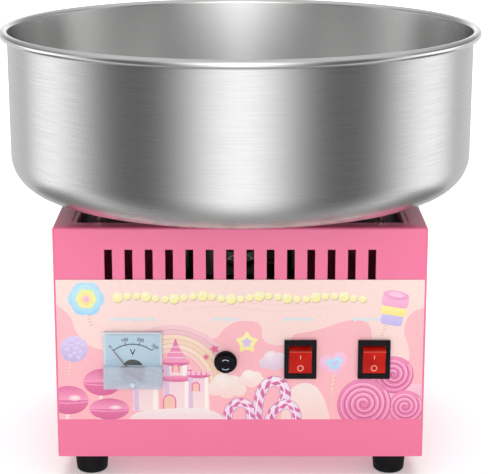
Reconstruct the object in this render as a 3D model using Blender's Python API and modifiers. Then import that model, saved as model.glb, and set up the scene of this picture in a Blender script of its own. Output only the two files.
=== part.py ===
"""Countertop cotton candy machine, modelled as the pieces it comes apart into.

A pink sheet-steel body stands on four rubber feet. Its front carries a printed panel with a voltmeter,
a fuse holder and two rocker switches. A motor hangs inside on four dampers and turns the floss head,
which stands in the middle of a wide steel bowl. The bowl rests on four posts and lifts off.

Metres, +Z up, +Y to the back. The origin is on the floor, on the axis of the motor, head and bowl.
"""

import math

import bmesh
import bpy
from mathutils import Matrix, Vector

MM = 0.001
GAP = 0.3 * MM  # left between pieces that touch

# Driving dimensions of the body
BODY_WIDTH = 390 * MM
BODY_DEPTH = 280 * MM
BODY_HEIGHT = 252.5 * MM
FOOT_HEIGHT = 24 * MM
SHEET = 1.2 * MM
BEND_RADIUS = 3 * MM

BODY_BOTTOM = FOOT_HEIGHT
BODY_TOP = BODY_BOTTOM + BODY_HEIGHT
FRONT = -BODY_DEPTH / 2
BACK = BODY_DEPTH / 2
HALF_WIDTH = BODY_WIDTH / 2

# The top of the shell: a flange round the opening, with its edge folded down
OPENING_HALF_X = 171.5 * MM
OPENING_HALF_Y = 116 * MM
LIP_DEPTH = 12 * MM
REAR_FLANGE = 14 * MM
SHELL_BACK = BACK - SHEET - GAP

# Vent slots
SLOT_WIDTH = 8.2 * MM
SLOT_PITCH = 21.1 * MM
FRONT_SLOTS = 14
FRONT_SLOT_TOP = BODY_BOTTOM + 229 * MM
FRONT_SLOT_BOTTOM = BODY_BOTTOM + 194 * MM
SIDE_SLOTS = 6

# The printed panel on the front
DECAL_WIDTH = 385 * MM
DECAL_BOTTOM = BODY_BOTTOM + 42.3 * MM
DECAL_TOP = BODY_BOTTOM + 196.8 * MM
DECAL_THICKNESS = 0.4 * MM
DECAL_FACE = FRONT - GAP - DECAL_THICKNESS
CONTROL_SEAT = DECAL_FACE - GAP  # the plane that the controls' flanges lie on
CONTROL_Z = BODY_BOTTOM + 110 * MM

# Voltmeter
METER_X = -113 * MM
METER_WIDTH = 62 * MM
METER_HEIGHT = 60.6 * MM
METER_FRAME = 3 * MM
METER_COVER = 8.7 * MM
METER_WALL = 1.4 * MM
METER_BARREL_RADIUS = 25 * MM
METER_BARREL_DEPTH = 30 * MM
NEEDLE_PIVOT_DROP = 15 * MM
NEEDLE_LENGTH = 32.5 * MM
NEEDLE_REST = math.radians(38)
ZERO_SCREW_DROP = 25 * MM
ZERO_SCREW_RADIUS = 2.6 * MM

# Fuse holder
FUSE_X = -15.4 * MM
FUSE_Z = BODY_BOTTOM + 107 * MM
FUSE_FLANGE_RADIUS = 12.1 * MM
FUSE_BARREL_RADIUS = 8 * MM
FUSE_BORE_RADIUS = 5.9 * MM
FUSE_CAP_RADIUS = 9.3 * MM

# Rocker switches
SWITCH_X = {"heat": 63.4 * MM, "power": 141 * MM}
BEZEL = Vector((34, 3.5, 42.5)) * MM
SWITCH_BODY = Vector((28, 24, 36.4)) * MM
SWITCH_WINDOW = Vector((24.6, 18.5, 31.5)) * MM
ROCKER_WIDTH = 23.8 * MM
ROCKER_TILT = math.radians(12)

# Feet
FOOT_X = 161 * MM
FOOT_Y = 115 * MM
FOOT_RADIUS = 18.2 * MM
STUD_RADIUS = 3 * MM

# Deck plate under the top opening, with what stands on it
DECK_THICKNESS = 1.5 * MM
DECK_TOP = BODY_TOP - LIP_DEPTH - GAP
DECK_BOTTOM = DECK_TOP - DECK_THICKNESS
DECK_HOLE_RADIUS = 20 * MM
POST_X = 150 * MM
POST_Y = 85 * MM
POST_RADIUS = 5 * MM
POST_STUD_RADIUS = 2.5 * MM
CLIP_RADIUS = 74 * MM
CLIP_PIN_RADIUS = 4 * MM
CLIP_REACH = 20 * MM

# Bowl
BOWL_RADIUS = 260 * MM
BOWL_BOTTOM = BODY_TOP + 18.5 * MM
BOWL_TOP = BODY_TOP + 191.5 * MM
BOWL_SHEET = 1.0 * MM
BOWL_CORNER = 37.5 * MM
BEAD_RADIUS = 4.1 * MM  # to the middle of the rolled sheet
BOWL_TAPER = 0.5 * MM
BOWL_HOLE_RADIUS = 90 * MM
BOWL_LIP = 12 * MM
BOWL_STEPS = 40

# Drive: motor under a hung plate, shaft, slip rings and brushes
PLATE_SIDE = 125 * MM
PLATE_BOTTOM = 200.5 * MM
PLATE_TOP = 203.5 * MM
DAMPER_OFFSET = 52 * MM
MOTOR_RADIUS = 32 * MM
MOTOR_BOSS_RADIUS = 15 * MM
MOTOR_BOTTOM = 102 * MM
CAN_BOTTOM = 112 * MM
CAN_TOP = 190 * MM
BEARING_RADIUS = 11 * MM
SHAFT_RADIUS = 5 * MM
SHAFT_BOTTOM = 96 * MM
SHAFT_TOP = 338 * MM
HUB_RADIUS = 16 * MM
RING_RADIUS = 19 * MM
RING_HEIGHT = 7 * MM
RING_BOTTOMS = {"lower": 221 * MM, "upper": 237 * MM}
BRUSH_SIZE = Vector((13, 6, 5)) * MM

# Floss head
HEAD_BOTTOM = 306 * MM
HEAD_FLOOR = 318 * MM
BAND_BOTTOM = 324.3 * MM
BAND_TOP = 343.7 * MM
BAND_RADIUS = 61.2 * MM
BAND_SLOTS = 15
HEAD_STEPS = 30
HEAD_RADIUS = 64 * MM
HEATER_RADIUS = 50 * MM
FEED_RADIUS = 27 * MM
CAP_RISE = 11 * MM

ALONG_FRONT = (math.pi / 2, 0, 0)  # turns a piece's own +Z to the front


# ---------------------------------------------------------------- scene and materials


def clear_scene():
    for obj in list(bpy.data.objects):
        bpy.data.objects.remove(obj)


def new_collection(name):
    collection = bpy.data.collections.new(name)
    bpy.context.scene.collection.children.link(collection)
    return collection


def material(name, color, roughness, metallic=0.0):
    made = bpy.data.materials.new(name)
    made.use_nodes = True
    shader = made.node_tree.nodes["Principled BSDF"]
    shader.inputs["Base Color"].default_value = (*color, 1)
    shader.inputs["Roughness"].default_value = roughness
    shader.inputs["Metallic"].default_value = metallic
    made.diffuse_color = (*color, 1)
    return made


clear_scene()
PARTS = new_collection("cotton_candy_machine")
CUTTERS = new_collection("cutters")

PINK = material("pink_paint", (0.86, 0.22, 0.38), 0.35)
PRINT = material("printed_panel", (0.98, 0.62, 0.66), 0.3)
DARK_STEEL = material("dark_steel", (0.03, 0.03, 0.035), 0.35, 0.6)
STEEL = material("brushed_steel", (0.62, 0.62, 0.63), 0.3, 1.0)
CHROME = material("chrome", (0.8, 0.8, 0.82), 0.08, 1.0)
ALUMINIUM = material("aluminium", (0.77, 0.77, 0.78), 0.35, 1.0)
BRASS = material("brass", (0.72, 0.5, 0.2), 0.3, 1.0)
RUBBER = material("rubber", (0.015, 0.015, 0.015), 0.8)
BLACK_PLASTIC = material("black_plastic", (0.01, 0.01, 0.012), 0.4)
RED_PLASTIC = material("red_plastic", (0.8, 0.03, 0.02), 0.25)
CLEAR_PLASTIC = material("clear_plastic", (0.8, 0.88, 0.92), 0.1)
PALE_PLASTIC = material("pale_plastic", (0.75, 0.82, 0.86), 0.4)
BAKELITE = material("bakelite", (0.25, 0.1, 0.05), 0.45)
CARBON = material("carbon", (0.03, 0.03, 0.03), 0.6)
GLASS = material("glass", (0.8, 0.85, 0.85), 0.05)
BOARD = material("circuit_board", (0.03, 0.25, 0.1), 0.5)
CABLE = material("cable", (0.5, 0.02, 0.02), 0.5)


# ---------------------------------------------------------------- ways of making a piece


def add(name, data, paint, location=(0, 0, 0), rotation=(0, 0, 0)):
    """A piece of the machine, from a mesh or a curve."""
    data.materials.append(paint)
    obj = bpy.data.objects.new(name, data)
    obj.location = location
    obj.rotation_euler = rotation
    PARTS.objects.link(obj)
    return obj


def mesh_from(bm, name):
    mesh = bpy.data.meshes.new(name)
    bm.to_mesh(mesh)
    bm.free()
    mesh.shade_smooth()
    mesh.set_sharp_from_angle(angle=math.radians(35))
    return mesh


def add_box(bm, low, high):
    """Adds the box between two corners to a mesh under construction."""
    low, high = Vector(low), Vector(high)
    size = high - low
    place = Matrix.Translation((low + high) / 2) @ Matrix.Diagonal((*size, 1))
    bmesh.ops.create_cube(bm, size=1, matrix=place)


def add_cylinder(bm, radius, start, end, segments=16):
    """Adds the cylinder between two points."""
    start, end = Vector(start), Vector(end)
    axis = end - start
    turn = axis.to_track_quat("Z", "Y").to_matrix().to_4x4()
    bmesh.ops.create_cone(
        bm,
        cap_ends=True,
        segments=segments,
        radius1=radius,
        radius2=radius,
        depth=axis.length,
        matrix=Matrix.Translation((start + end) / 2) @ turn,
    )


def box(name, low, high, paint):
    bm = bmesh.new()
    add_box(bm, low, high)
    return add(name, mesh_from(bm, name), paint)


def turned(name, profile, paint, closed=True, steps=20, location=(0, 0, 0), rotation=(0, 0, 0)):
    """A lathe-turned piece. The profile holds (radius, height) pairs and runs down its outer side.

    A closed profile comes back to its start, as on a ring. An open one starts and ends on the axis.
    """
    mesh = bpy.data.meshes.new(name)
    count = len(profile)
    edges = [(i, (i + 1) % count) for i in range(count if closed else count - 1)]
    mesh.from_pydata([(r, 0, z) for r, z in profile], edges, [])
    obj = add(name, mesh, paint, location, rotation)
    screw = obj.modifiers.new("turn", "SCREW")
    screw.steps = screw.render_steps = steps
    screw.use_merge_vertices = True
    screw.merge_threshold = 0.00001
    screw.use_smooth_shade = True
    return obj


def ring(inner, outer, bottom, top):
    """The closed profile of a plain ring or bush."""
    return [(outer, top), (outer, bottom), (inner, bottom), (inner, top)]


def arc(center, radius, start, end, count):
    """Points on an arc in the profile plane, from one angle to the other, in degrees."""
    angles = [math.radians(start + (end - start) * i / count) for i in range(count + 1)]
    return [(center[0] + radius * math.cos(a), center[1] + radius * math.sin(a)) for a in angles]


def sheet_profile(path, thickness):
    """The closed profile of a bent sheet, from its middle line, running down its outer side."""
    points = [Vector(p) for p in path]
    sides = [[], []]
    for i, point in enumerate(points):
        before = (point - points[max(i - 1, 0)]).normalized()
        after = (points[min(i + 1, len(points) - 1)] - point).normalized()
        along = (before + after).normalized()
        normal = Vector((-along.y, along.x))
        miter = thickness / 2 / max((after if i == 0 else before).dot(along), 0.5)
        sides[0].append(point + normal * miter)
        sides[1].append(point - normal * miter)
    loop = sides[0] + sides[1][::-1]
    area = sum(a.x * b.y - b.x * a.y for a, b in zip(loop, loop[1:] + loop[:1]))
    return [tuple(p) for p in (loop[::-1] if area > 0 else loop)]


def outline(name, points, thickness, paint, location=(0, 0, 0), rotation=(0, 0, 0)):
    """A flat piece cut to an outline, with its thickness along its own Z."""
    curve = bpy.data.curves.new(name, "CURVE")
    curve.dimensions = "2D"
    curve.fill_mode = "BOTH"
    curve.extrude = thickness / 2
    spline = curve.splines.new("POLY")
    spline.points.add(len(points) - 1)
    for place, (x, y) in zip(spline.points, points):
        place.co = (x, y, 0, 1)
    spline.use_cyclic_u = True
    return add(name, curve, paint, location, rotation)


def lead(name, points, radius, paint):
    """An insulated lead along a smooth line through a few points."""
    curve = bpy.data.curves.new(name, "CURVE")
    curve.dimensions = "3D"
    curve.bevel_depth = radius
    curve.bevel_resolution = 2
    curve.use_fill_caps = True
    knots = [Vector(p) for p in points]
    ends = [2 * knots[0] - knots[1], *knots, 2 * knots[-1] - knots[-2]]
    line = []
    for a, b, c, d in zip(ends, ends[1:], ends[2:], ends[3:]):
        for t in (0, 0.25, 0.5, 0.75):
            line.append(
                0.5 * (2 * b + (c - a) * t + (2 * a - 5 * b + 4 * c - d) * t**2
                       + (3 * b - a - 3 * c + d) * t**3)
            )
    line.append(knots[-1])
    spline = curve.splines.new("POLY")
    spline.points.add(len(line) - 1)
    for place, point in zip(spline.points, line):
        place.co = (*point, 1)
    return add(name, curve, paint)


def helper(bm, name):
    """An object that only cuts or joins others."""
    obj = bpy.data.objects.new(name, mesh_from(bm, name))
    obj.hide_render = True
    obj.display_type = "WIRE"
    CUTTERS.objects.link(obj)
    return obj


def combine(obj, bm, operation):
    """Cuts the shapes in bm from a piece, or joins them to it."""
    modifier = obj.modifiers.new(operation.lower(), "BOOLEAN")
    modifier.operation = operation
    modifier.object = helper(bm, f"{obj.name}_{operation.lower()}")


def bevel(obj, width, segments=2, angle=40):
    modifier = obj.modifiers.new("bevel", "BEVEL")
    modifier.width = width
    modifier.segments = segments
    modifier.limit_method = "ANGLE"
    modifier.angle_limit = math.radians(angle)


def realised(obj):
    """The piece's final mesh, for copies that share it."""
    bpy.context.view_layer.update()
    return bpy.data.meshes.new_from_object(obj.evaluated_get(bpy.context.evaluated_depsgraph_get()))


def four_corners(x, y):
    """Names and places of four pieces that stand at the corners of a rectangle."""
    sides = {"left": -x, "right": x}
    ends = {"front": -y, "rear": y}
    return {f"{end}_{side}": (sides[side], ends[end]) for end in ends for side in sides}


# ---------------------------------------------------------------- body


def split(bm, normal, planes):
    """Cuts the faces that face along normal by planes, each (point, normal)."""
    for point, across in planes:
        faces = [f for f in bm.faces if f.normal.dot(normal) > 0.9]
        touched = {e for f in faces for e in f.edges} | {v for f in faces for v in f.verts}
        bmesh.ops.bisect_plane(bm, geom=faces + list(touched), plane_co=point, plane_no=across)
        bm.normal_update()


def middle_face(bm, normal, point):
    """The face along normal whose middle is nearest to a point."""
    faces = [f for f in bm.faces if f.normal.dot(normal) > 0.9]
    return min(faces, key=lambda f: (f.calc_center_median() - Vector(point)).length)


def slot_boxes(bm, count, low, high, step):
    """Adds a row of vent slots. low and high are the corners of the middle of the row."""
    for i in range(count):
        shift = Vector(step) * (i - (count - 1) / 2)
        add_box(bm, Vector(low) + shift, Vector(high) + shift)


def front_cutouts(bm, from_y, to_y):
    """The holes that the voltmeter, fuse holder and switches need, through a sheet."""
    meter = METER_BARREL_RADIUS + 2 * GAP
    add_cylinder(bm, meter, (METER_X, from_y, CONTROL_Z), (METER_X, to_y, CONTROL_Z), 32)
    fuse = FUSE_BARREL_RADIUS + 2 * GAP
    add_cylinder(bm, fuse, (FUSE_X, from_y, FUSE_Z), (FUSE_X, to_y, FUSE_Z), 24)
    half_x, half_z = SWITCH_BODY.x / 2 + 2 * GAP, SWITCH_BODY.z / 2 + 2 * GAP
    for x in SWITCH_X.values():
        add_box(bm, (x - half_x, from_y, CONTROL_Z - half_z), (x + half_x, to_y, CONTROL_Z + half_z))


REAR_SCREW_X = HALF_WIDTH - REAR_FLANGE / 2
REAR_SCREW_Z = BODY_BOTTOM + 212 * MM
SCREW_RADIUS = 1.9 * MM
INLET_X = 120 * MM
INLET_Z = BODY_BOTTOM + 40 * MM
INLET_BODY = Vector((27, 18, 19.4)) * MM


def housing_shell():
    """Front, sides and top in one bent and welded sheet, with return flanges at the back."""
    bm = bmesh.new()
    add_box(bm, (-HALF_WIDTH, FRONT, BODY_BOTTOM), (HALF_WIDTH, SHELL_BACK, BODY_TOP))
    bm.normal_update()
    bmesh.ops.delete(bm, geom=[f for f in bm.faces if f.normal.z < -0.9], context="FACES")

    up, back = Vector((0, 0, 1)), Vector((0, 1, 0))
    across = [((sign * OPENING_HALF_X, 0, 0), (1, 0, 0)) for sign in (-1, 1)]
    split(bm, up, across + [((0, sign * OPENING_HALF_Y, 0), (0, 1, 0)) for sign in (-1, 1)])
    opening = middle_face(bm, up, (0, 0, BODY_TOP))
    folded = bmesh.ops.extrude_face_region(bm, geom=[opening])["geom"]
    lip = [v for v in folded if isinstance(v, bmesh.types.BMVert)]
    bmesh.ops.translate(bm, verts=lip, vec=(0, 0, -LIP_DEPTH))
    lids = [f for f in folded if isinstance(f, bmesh.types.BMFace)]
    bmesh.ops.delete(bm, geom=[opening, *lids], context="FACES")

    flange_x = HALF_WIDTH - REAR_FLANGE
    across = [((sign * flange_x, 0, 0), (1, 0, 0)) for sign in (-1, 1)]
    split(bm, back, across + [((0, 0, BODY_TOP - REAR_FLANGE), (0, 0, 1))])
    doorway = middle_face(bm, back, (0, SHELL_BACK, BODY_BOTTOM + BODY_HEIGHT / 2))
    bmesh.ops.delete(bm, geom=[doorway], context="FACES")

    shell = add("housing_shell", mesh_from(bm, "housing_shell"), PINK)
    bevel(shell, BEND_RADIUS, segments=2, angle=60)
    solid = shell.modifiers.new("sheet", "SOLIDIFY")
    solid.thickness = SHEET
    solid.offset = -1
    solid.use_even_offset = True

    holes = bmesh.new()
    half_slot = SLOT_WIDTH / 2
    slot_boxes(holes, FRONT_SLOTS, (-half_slot, FRONT - 5 * MM, FRONT_SLOT_BOTTOM),
               (half_slot, FRONT + 5 * MM, FRONT_SLOT_TOP), (SLOT_PITCH, 0, 0))
    front_cutouts(holes, FRONT - 5 * MM, FRONT + 5 * MM)
    for sign in (-1, 1):
        inner, outer = sorted((sign * (HALF_WIDTH - 5 * MM), sign * (HALF_WIDTH + 5 * MM)))
        slot_boxes(holes, SIDE_SLOTS, (inner, -half_slot, FRONT_SLOT_BOTTOM),
                   (outer, half_slot, FRONT_SLOT_TOP), (0, SLOT_PITCH, 0))
        place = (sign * REAR_SCREW_X, SHELL_BACK - 5 * MM, REAR_SCREW_Z)
        add_cylinder(holes, SCREW_RADIUS + GAP, place, (place[0], BACK + 5 * MM, place[2]), 16)
    combine(shell, holes, "DIFFERENCE")


def rear_panel():
    """The flat cover over the back, with vents, the mains inlet's hole and two screw holes."""
    panel = box("rear_panel", (-HALF_WIDTH, BACK - SHEET, BODY_BOTTOM), (HALF_WIDTH, BACK, BODY_TOP), PINK)
    holes = bmesh.new()
    half_slot = SLOT_WIDTH / 2
    slot_boxes(holes, FRONT_SLOTS, (-half_slot, BACK - 5 * MM, FRONT_SLOT_BOTTOM - 20 * MM),
               (half_slot, BACK + 5 * MM, FRONT_SLOT_TOP - 20 * MM), (SLOT_PITCH, 0, 0))
    half = INLET_BODY / 2 + Vector((2, 2, 2)) * GAP
    add_box(holes, (INLET_X - half.x, BACK - 5 * MM, INLET_Z - half.z), (INLET_X + half.x, BACK + 5 * MM, INLET_Z + half.z))
    for sign in (-1, 1):
        place = (sign * REAR_SCREW_X, BACK - 5 * MM, REAR_SCREW_Z)
        add_cylinder(holes, SCREW_RADIUS + GAP, place, (place[0], BACK + 5 * MM, place[2]), 16)
    combine(panel, holes, "DIFFERENCE")


def rear_screws():
    """Pan-head screws through the rear panel into the shell's flanges."""
    head = 3.8 * MM
    profile = [(0, -9 * MM), (SCREW_RADIUS, -9 * MM), (SCREW_RADIUS, GAP), (head, GAP),
               (head, 1.6 * MM), (head * 0.7, 2.4 * MM), (0, 2.6 * MM)]
    for side, sign in (("left", -1), ("right", 1)):
        turned(f"rear_screw_{side}", profile[::-1], CHROME, closed=False, steps=12,
               location=(sign * REAR_SCREW_X, BACK, REAR_SCREW_Z), rotation=(-math.pi / 2, 0, 0))


def base_plate():
    """A tray that closes the body from below, with its edges turned up."""
    thickness = 1.5 * MM
    edge = 14 * MM
    half_x = HALF_WIDTH - SHEET - 2 * GAP
    front, back = FRONT + SHEET + 2 * GAP, SHELL_BACK - SHEET - 2 * GAP
    bm = bmesh.new()
    add_box(bm, (-half_x, front, BODY_BOTTOM + GAP), (half_x, back, BODY_BOTTOM + edge))
    bm.normal_update()
    bmesh.ops.delete(bm, geom=[f for f in bm.faces if f.normal.z > 0.9], context="FACES")
    tray = add("base_plate", mesh_from(bm, "base_plate"), PINK)
    bevel(tray, BEND_RADIUS, segments=2, angle=60)
    solid = tray.modifiers.new("sheet", "SOLIDIFY")
    solid.thickness = thickness
    solid.offset = -1
    solid.use_even_offset = True
    holes = bmesh.new()
    for x, y in four_corners(FOOT_X, FOOT_Y).values():
        add_cylinder(holes, STUD_RADIUS + GAP, (x, y, BODY_BOTTOM - 5 * MM), (x, y, BODY_BOTTOM + 8 * MM), 10)
    combine(tray, holes, "DIFFERENCE")


def feet():
    """Rubber feet, each moulded on a steel stud that goes up through the base plate."""
    round_edge = 5 * MM
    profile = [(0, FOOT_HEIGHT + 12 * MM), (STUD_RADIUS, FOOT_HEIGHT + 12 * MM), (STUD_RADIUS, FOOT_HEIGHT),
               (FOOT_RADIUS, FOOT_HEIGHT), (FOOT_RADIUS, FOOT_HEIGHT - 3 * MM),
               *arc((FOOT_RADIUS - 1.5 * MM - round_edge, round_edge), round_edge, 0, -90, 2), (0, 0)]
    for corner, (x, y) in four_corners(FOOT_X, FOOT_Y).items():
        turned(f"foot_{corner}", profile, RUBBER, closed=False, location=(x, y, 0))


def front_decal():
    """The printed panel stuck to the front, with holes for the controls."""
    half = DECAL_WIDTH / 2
    decal = box("front_decal", (-half, DECAL_FACE, DECAL_BOTTOM), (half, FRONT - GAP, DECAL_TOP), PRINT)
    holes = bmesh.new()
    front_cutouts(holes, FRONT - 5 * MM, FRONT + 5 * MM)
    combine(decal, holes, "DIFFERENCE")


def deck_plate():
    """The dark plate under the top opening. The bowl's posts and clips stand on it."""
    margin = 9 * MM
    deck = box("deck_plate", (-OPENING_HALF_X - margin, -OPENING_HALF_Y - margin, DECK_BOTTOM),
               (OPENING_HALF_X + margin, OPENING_HALF_Y + margin, DECK_TOP), DARK_STEEL)
    holes = bmesh.new()
    below, above = DECK_BOTTOM - 5 * MM, DECK_TOP + 5 * MM
    add_cylinder(holes, DECK_HOLE_RADIUS, (0, 0, below), (0, 0, above), 20)
    for x, y in four_corners(POST_X, POST_Y).values():
        add_cylinder(holes, POST_STUD_RADIUS + GAP, (x, y, below), (x, y, above), 8)
    for angle in clip_angles().values():
        x, y = CLIP_RADIUS * math.cos(angle), CLIP_RADIUS * math.sin(angle)
        add_cylinder(holes, CLIP_PIN_RADIUS + GAP, (x, y, below), (x, y, above), 12)
    combine(deck, holes, "DIFFERENCE")


# ---------------------------------------------------------------- bowl, posts and clips


def bowl_posts():
    """Round-topped posts that the bowl rests on, screwed through the deck plate."""
    bottom, top = DECK_TOP + GAP, BOWL_BOTTOM - GAP
    profile = [(0, top), *arc((0, top - POST_RADIUS), POST_RADIUS, 65, 0, 3), (POST_RADIUS, bottom + 3 * MM),
               (POST_RADIUS + 2 * MM, bottom + 3 * MM), (POST_RADIUS + 2 * MM, bottom), (POST_STUD_RADIUS, bottom),
               (POST_STUD_RADIUS, DECK_BOTTOM - 8 * MM), (0, DECK_BOTTOM - 8 * MM)]
    for corner, (x, y) in four_corners(POST_X, POST_Y).items():
        turned(f"bowl_post_{corner}", profile, CHROME, closed=False, steps=12, location=(x, y, 0))


def bowl():
    """The deep steel catch bowl: rolled rim, near-upright wall, rounded corner and a centre hole."""
    half = BOWL_SHEET / 2
    floor = BOWL_BOTTOM + half
    rim_center = (BOWL_RADIUS - half - BEAD_RADIUS, BOWL_TOP - half - BEAD_RADIUS)
    wall = rim_center[0] - BEAD_RADIUS - BOWL_TAPER
    fillet = 4 * MM
    path = [(BOWL_HOLE_RADIUS, floor + BOWL_LIP)]
    path += arc((BOWL_HOLE_RADIUS + fillet, floor + fillet), fillet, 180, 270, 1)
    path += arc((wall - BOWL_CORNER, floor + BOWL_CORNER), BOWL_CORNER, 270, 360, 3)
    path += arc(rim_center, BEAD_RADIUS, 180, -100, 5)
    turned("bowl", sheet_profile(path, BOWL_SHEET), STEEL, steps=BOWL_STEPS)


def clip_angles():
    """Where the bowl's clips stand round the head."""
    return {f"{n + 1}": math.radians(90 * n) for n in range(4)}


def bowl_clips():
    """Swivel clips. Turned a quarter turn outwards, each one holds down the lip of the bowl's hole."""
    arm_bottom = BOWL_BOTTOM + BOWL_LIP + BOWL_SHEET + 2 * GAP
    arm_top = arm_bottom + 2 * MM
    knob = 5.5 * MM
    foot = DECK_TOP + GAP
    collar = CLIP_PIN_RADIUS + 2.5 * MM
    profile = [(0, arm_top + 6 * MM), (knob - 1 * MM, arm_top + 6 * MM), (knob, arm_top + 5 * MM),
               (knob, arm_bottom), (CLIP_PIN_RADIUS, arm_bottom), (CLIP_PIN_RADIUS, foot + 3 * MM),
               (collar, foot + 3 * MM), (collar, foot), (CLIP_PIN_RADIUS, foot),
               (CLIP_PIN_RADIUS, DECK_BOTTOM - 6 * MM), (0, DECK_BOTTOM - 6 * MM)]
    pattern = turned("clip_pattern", profile, CHROME, closed=False, steps=12)
    arm = bmesh.new()
    add_box(arm, (-5 * MM, -2 * MM, arm_bottom + 0.1 * MM), (5 * MM, CLIP_REACH, arm_top))
    combine(pattern, arm, "UNION")
    shared = realised(pattern)
    bpy.data.objects.remove(pattern)
    for number, angle in clip_angles().items():
        clip = bpy.data.objects.new(f"bowl_clip_{number}", shared)
        clip.location = (CLIP_RADIUS * math.cos(angle), CLIP_RADIUS * math.sin(angle), 0)
        clip.rotation_euler = (0, 0, angle)
        PARTS.objects.link(clip)


# ---------------------------------------------------------------- drive


def motor_plate():
    """The plate that carries the motor and the brushes, hung from the deck on dampers."""
    half = PLATE_SIDE / 2
    plate = box("motor_plate", (-half, -half, PLATE_BOTTOM), (half, half, PLATE_TOP), DARK_STEEL)
    bevel(plate, 1 * MM, segments=1)
    hole = bmesh.new()
    add_cylinder(hole, MOTOR_BOSS_RADIUS + 2 * GAP, (0, 0, PLATE_BOTTOM - 5 * MM), (0, 0, PLATE_TOP + 5 * MM), 24)
    combine(plate, hole, "DIFFERENCE")


def dampers():
    """Rubber bobbins on steel spacers. They keep the head's shake out of the body."""
    bottom, top = PLATE_TOP + GAP, DECK_BOTTOM - GAP
    rod, rubber, waist = 4 * MM, 9 * MM, 7.5 * MM
    shoulder = top - 26 * MM
    profile = [(0, top), (rubber, top), (rubber, top - 5 * MM), (waist, (top + shoulder) / 2),
               (rubber, shoulder + 5 * MM), (rubber, shoulder), (rod, shoulder), (rod, bottom + 2 * MM),
               (rod + 3 * MM, bottom + 2 * MM), (rod + 3 * MM, bottom), (0, bottom)]
    for corner, (x, y) in four_corners(DAMPER_OFFSET, DAMPER_OFFSET).items():
        turned(f"damper_{corner}", profile, RUBBER, closed=False, steps=12, location=(x, y, 0))


def motor():
    """The motor's casing, magnets, bearings and rotor, round the drive shaft."""
    seat = BEARING_RADIUS + GAP
    throat = SHAFT_RADIUS + 2 * MM
    turned("motor_can", ring(MOTOR_RADIUS - 2 * MM, MOTOR_RADIUS, CAN_BOTTOM, CAN_TOP), STEEL)

    bell_top = PLATE_BOTTOM - GAP
    boss_top = PLATE_TOP + 2.5 * MM
    seat_floor = bell_top - 4 * MM
    turned("motor_top_bell", [
        (MOTOR_BOSS_RADIUS - 1 * MM, boss_top), (MOTOR_BOSS_RADIUS, boss_top - 1 * MM), (MOTOR_BOSS_RADIUS, bell_top),
        (MOTOR_RADIUS - 3 * MM, bell_top), (MOTOR_RADIUS, bell_top - 3 * MM), (MOTOR_RADIUS, CAN_TOP + GAP),
        (throat, CAN_TOP + GAP), (throat, seat_floor), (seat, seat_floor), (seat, boss_top)], ALUMINIUM)
    upper = ring(SHAFT_RADIUS + GAP, BEARING_RADIUS, seat_floor + GAP, seat_floor + 7 * MM)
    turned("upper_bearing", upper, CHROME)

    bell_bottom = MOTOR_BOTTOM
    boss_bottom = bell_bottom - 5 * MM
    seat_roof = bell_bottom + 4 * MM
    turned("motor_bottom_bell", [
        (throat, CAN_BOTTOM - GAP), (MOTOR_RADIUS, CAN_BOTTOM - GAP), (MOTOR_RADIUS, bell_bottom + 3 * MM),
        (MOTOR_RADIUS - 3 * MM, bell_bottom), (MOTOR_BOSS_RADIUS, bell_bottom), (MOTOR_BOSS_RADIUS, boss_bottom),
        (seat, boss_bottom), (seat, seat_roof), (throat, seat_roof)], ALUMINIUM)
    lower = ring(SHAFT_RADIUS + GAP, BEARING_RADIUS, seat_roof - 7 * MM, seat_roof - GAP)
    turned("lower_bearing", lower, CHROME)

    magnet_outer = MOTOR_RADIUS - 2 * MM - GAP
    turned("magnet_ring", ring(magnet_outer - 4 * MM, magnet_outer, CAN_BOTTOM + 8 * MM, CAN_TOP - 8 * MM), CARBON)
    rotor_outer = magnet_outer - 4 * MM - 1 * MM
    turned("rotor_core", ring(SHAFT_RADIUS + GAP, rotor_outer, CAN_BOTTOM + 12 * MM, CAN_TOP - 12 * MM), STEEL)


def drive_shaft():
    """One shaft from the lower bearing up to the head, with a chamfer at each end."""
    chamfer = 1 * MM
    turned("drive_shaft", [
        (0, SHAFT_TOP), (SHAFT_RADIUS - chamfer, SHAFT_TOP), (SHAFT_RADIUS, SHAFT_TOP - chamfer),
        (SHAFT_RADIUS, SHAFT_BOTTOM + chamfer), (SHAFT_RADIUS - chamfer, SHAFT_BOTTOM), (0, SHAFT_BOTTOM)],
        CHROME, closed=False)


def slip_rings():
    """Two brass rings on an insulating hub bring current to the heater in the turning head."""
    low, high = RING_BOTTOMS["lower"] - 5 * MM, RING_BOTTOMS["upper"] + RING_HEIGHT + 5 * MM
    turned("slip_ring_hub", ring(SHAFT_RADIUS + GAP, HUB_RADIUS, low, high), BAKELITE)
    for name, bottom in RING_BOTTOMS.items():
        profile = ring(HUB_RADIUS + GAP, RING_RADIUS, bottom, bottom + RING_HEIGHT)
        turned(f"slip_ring_{name}", profile, BRASS)


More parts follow.
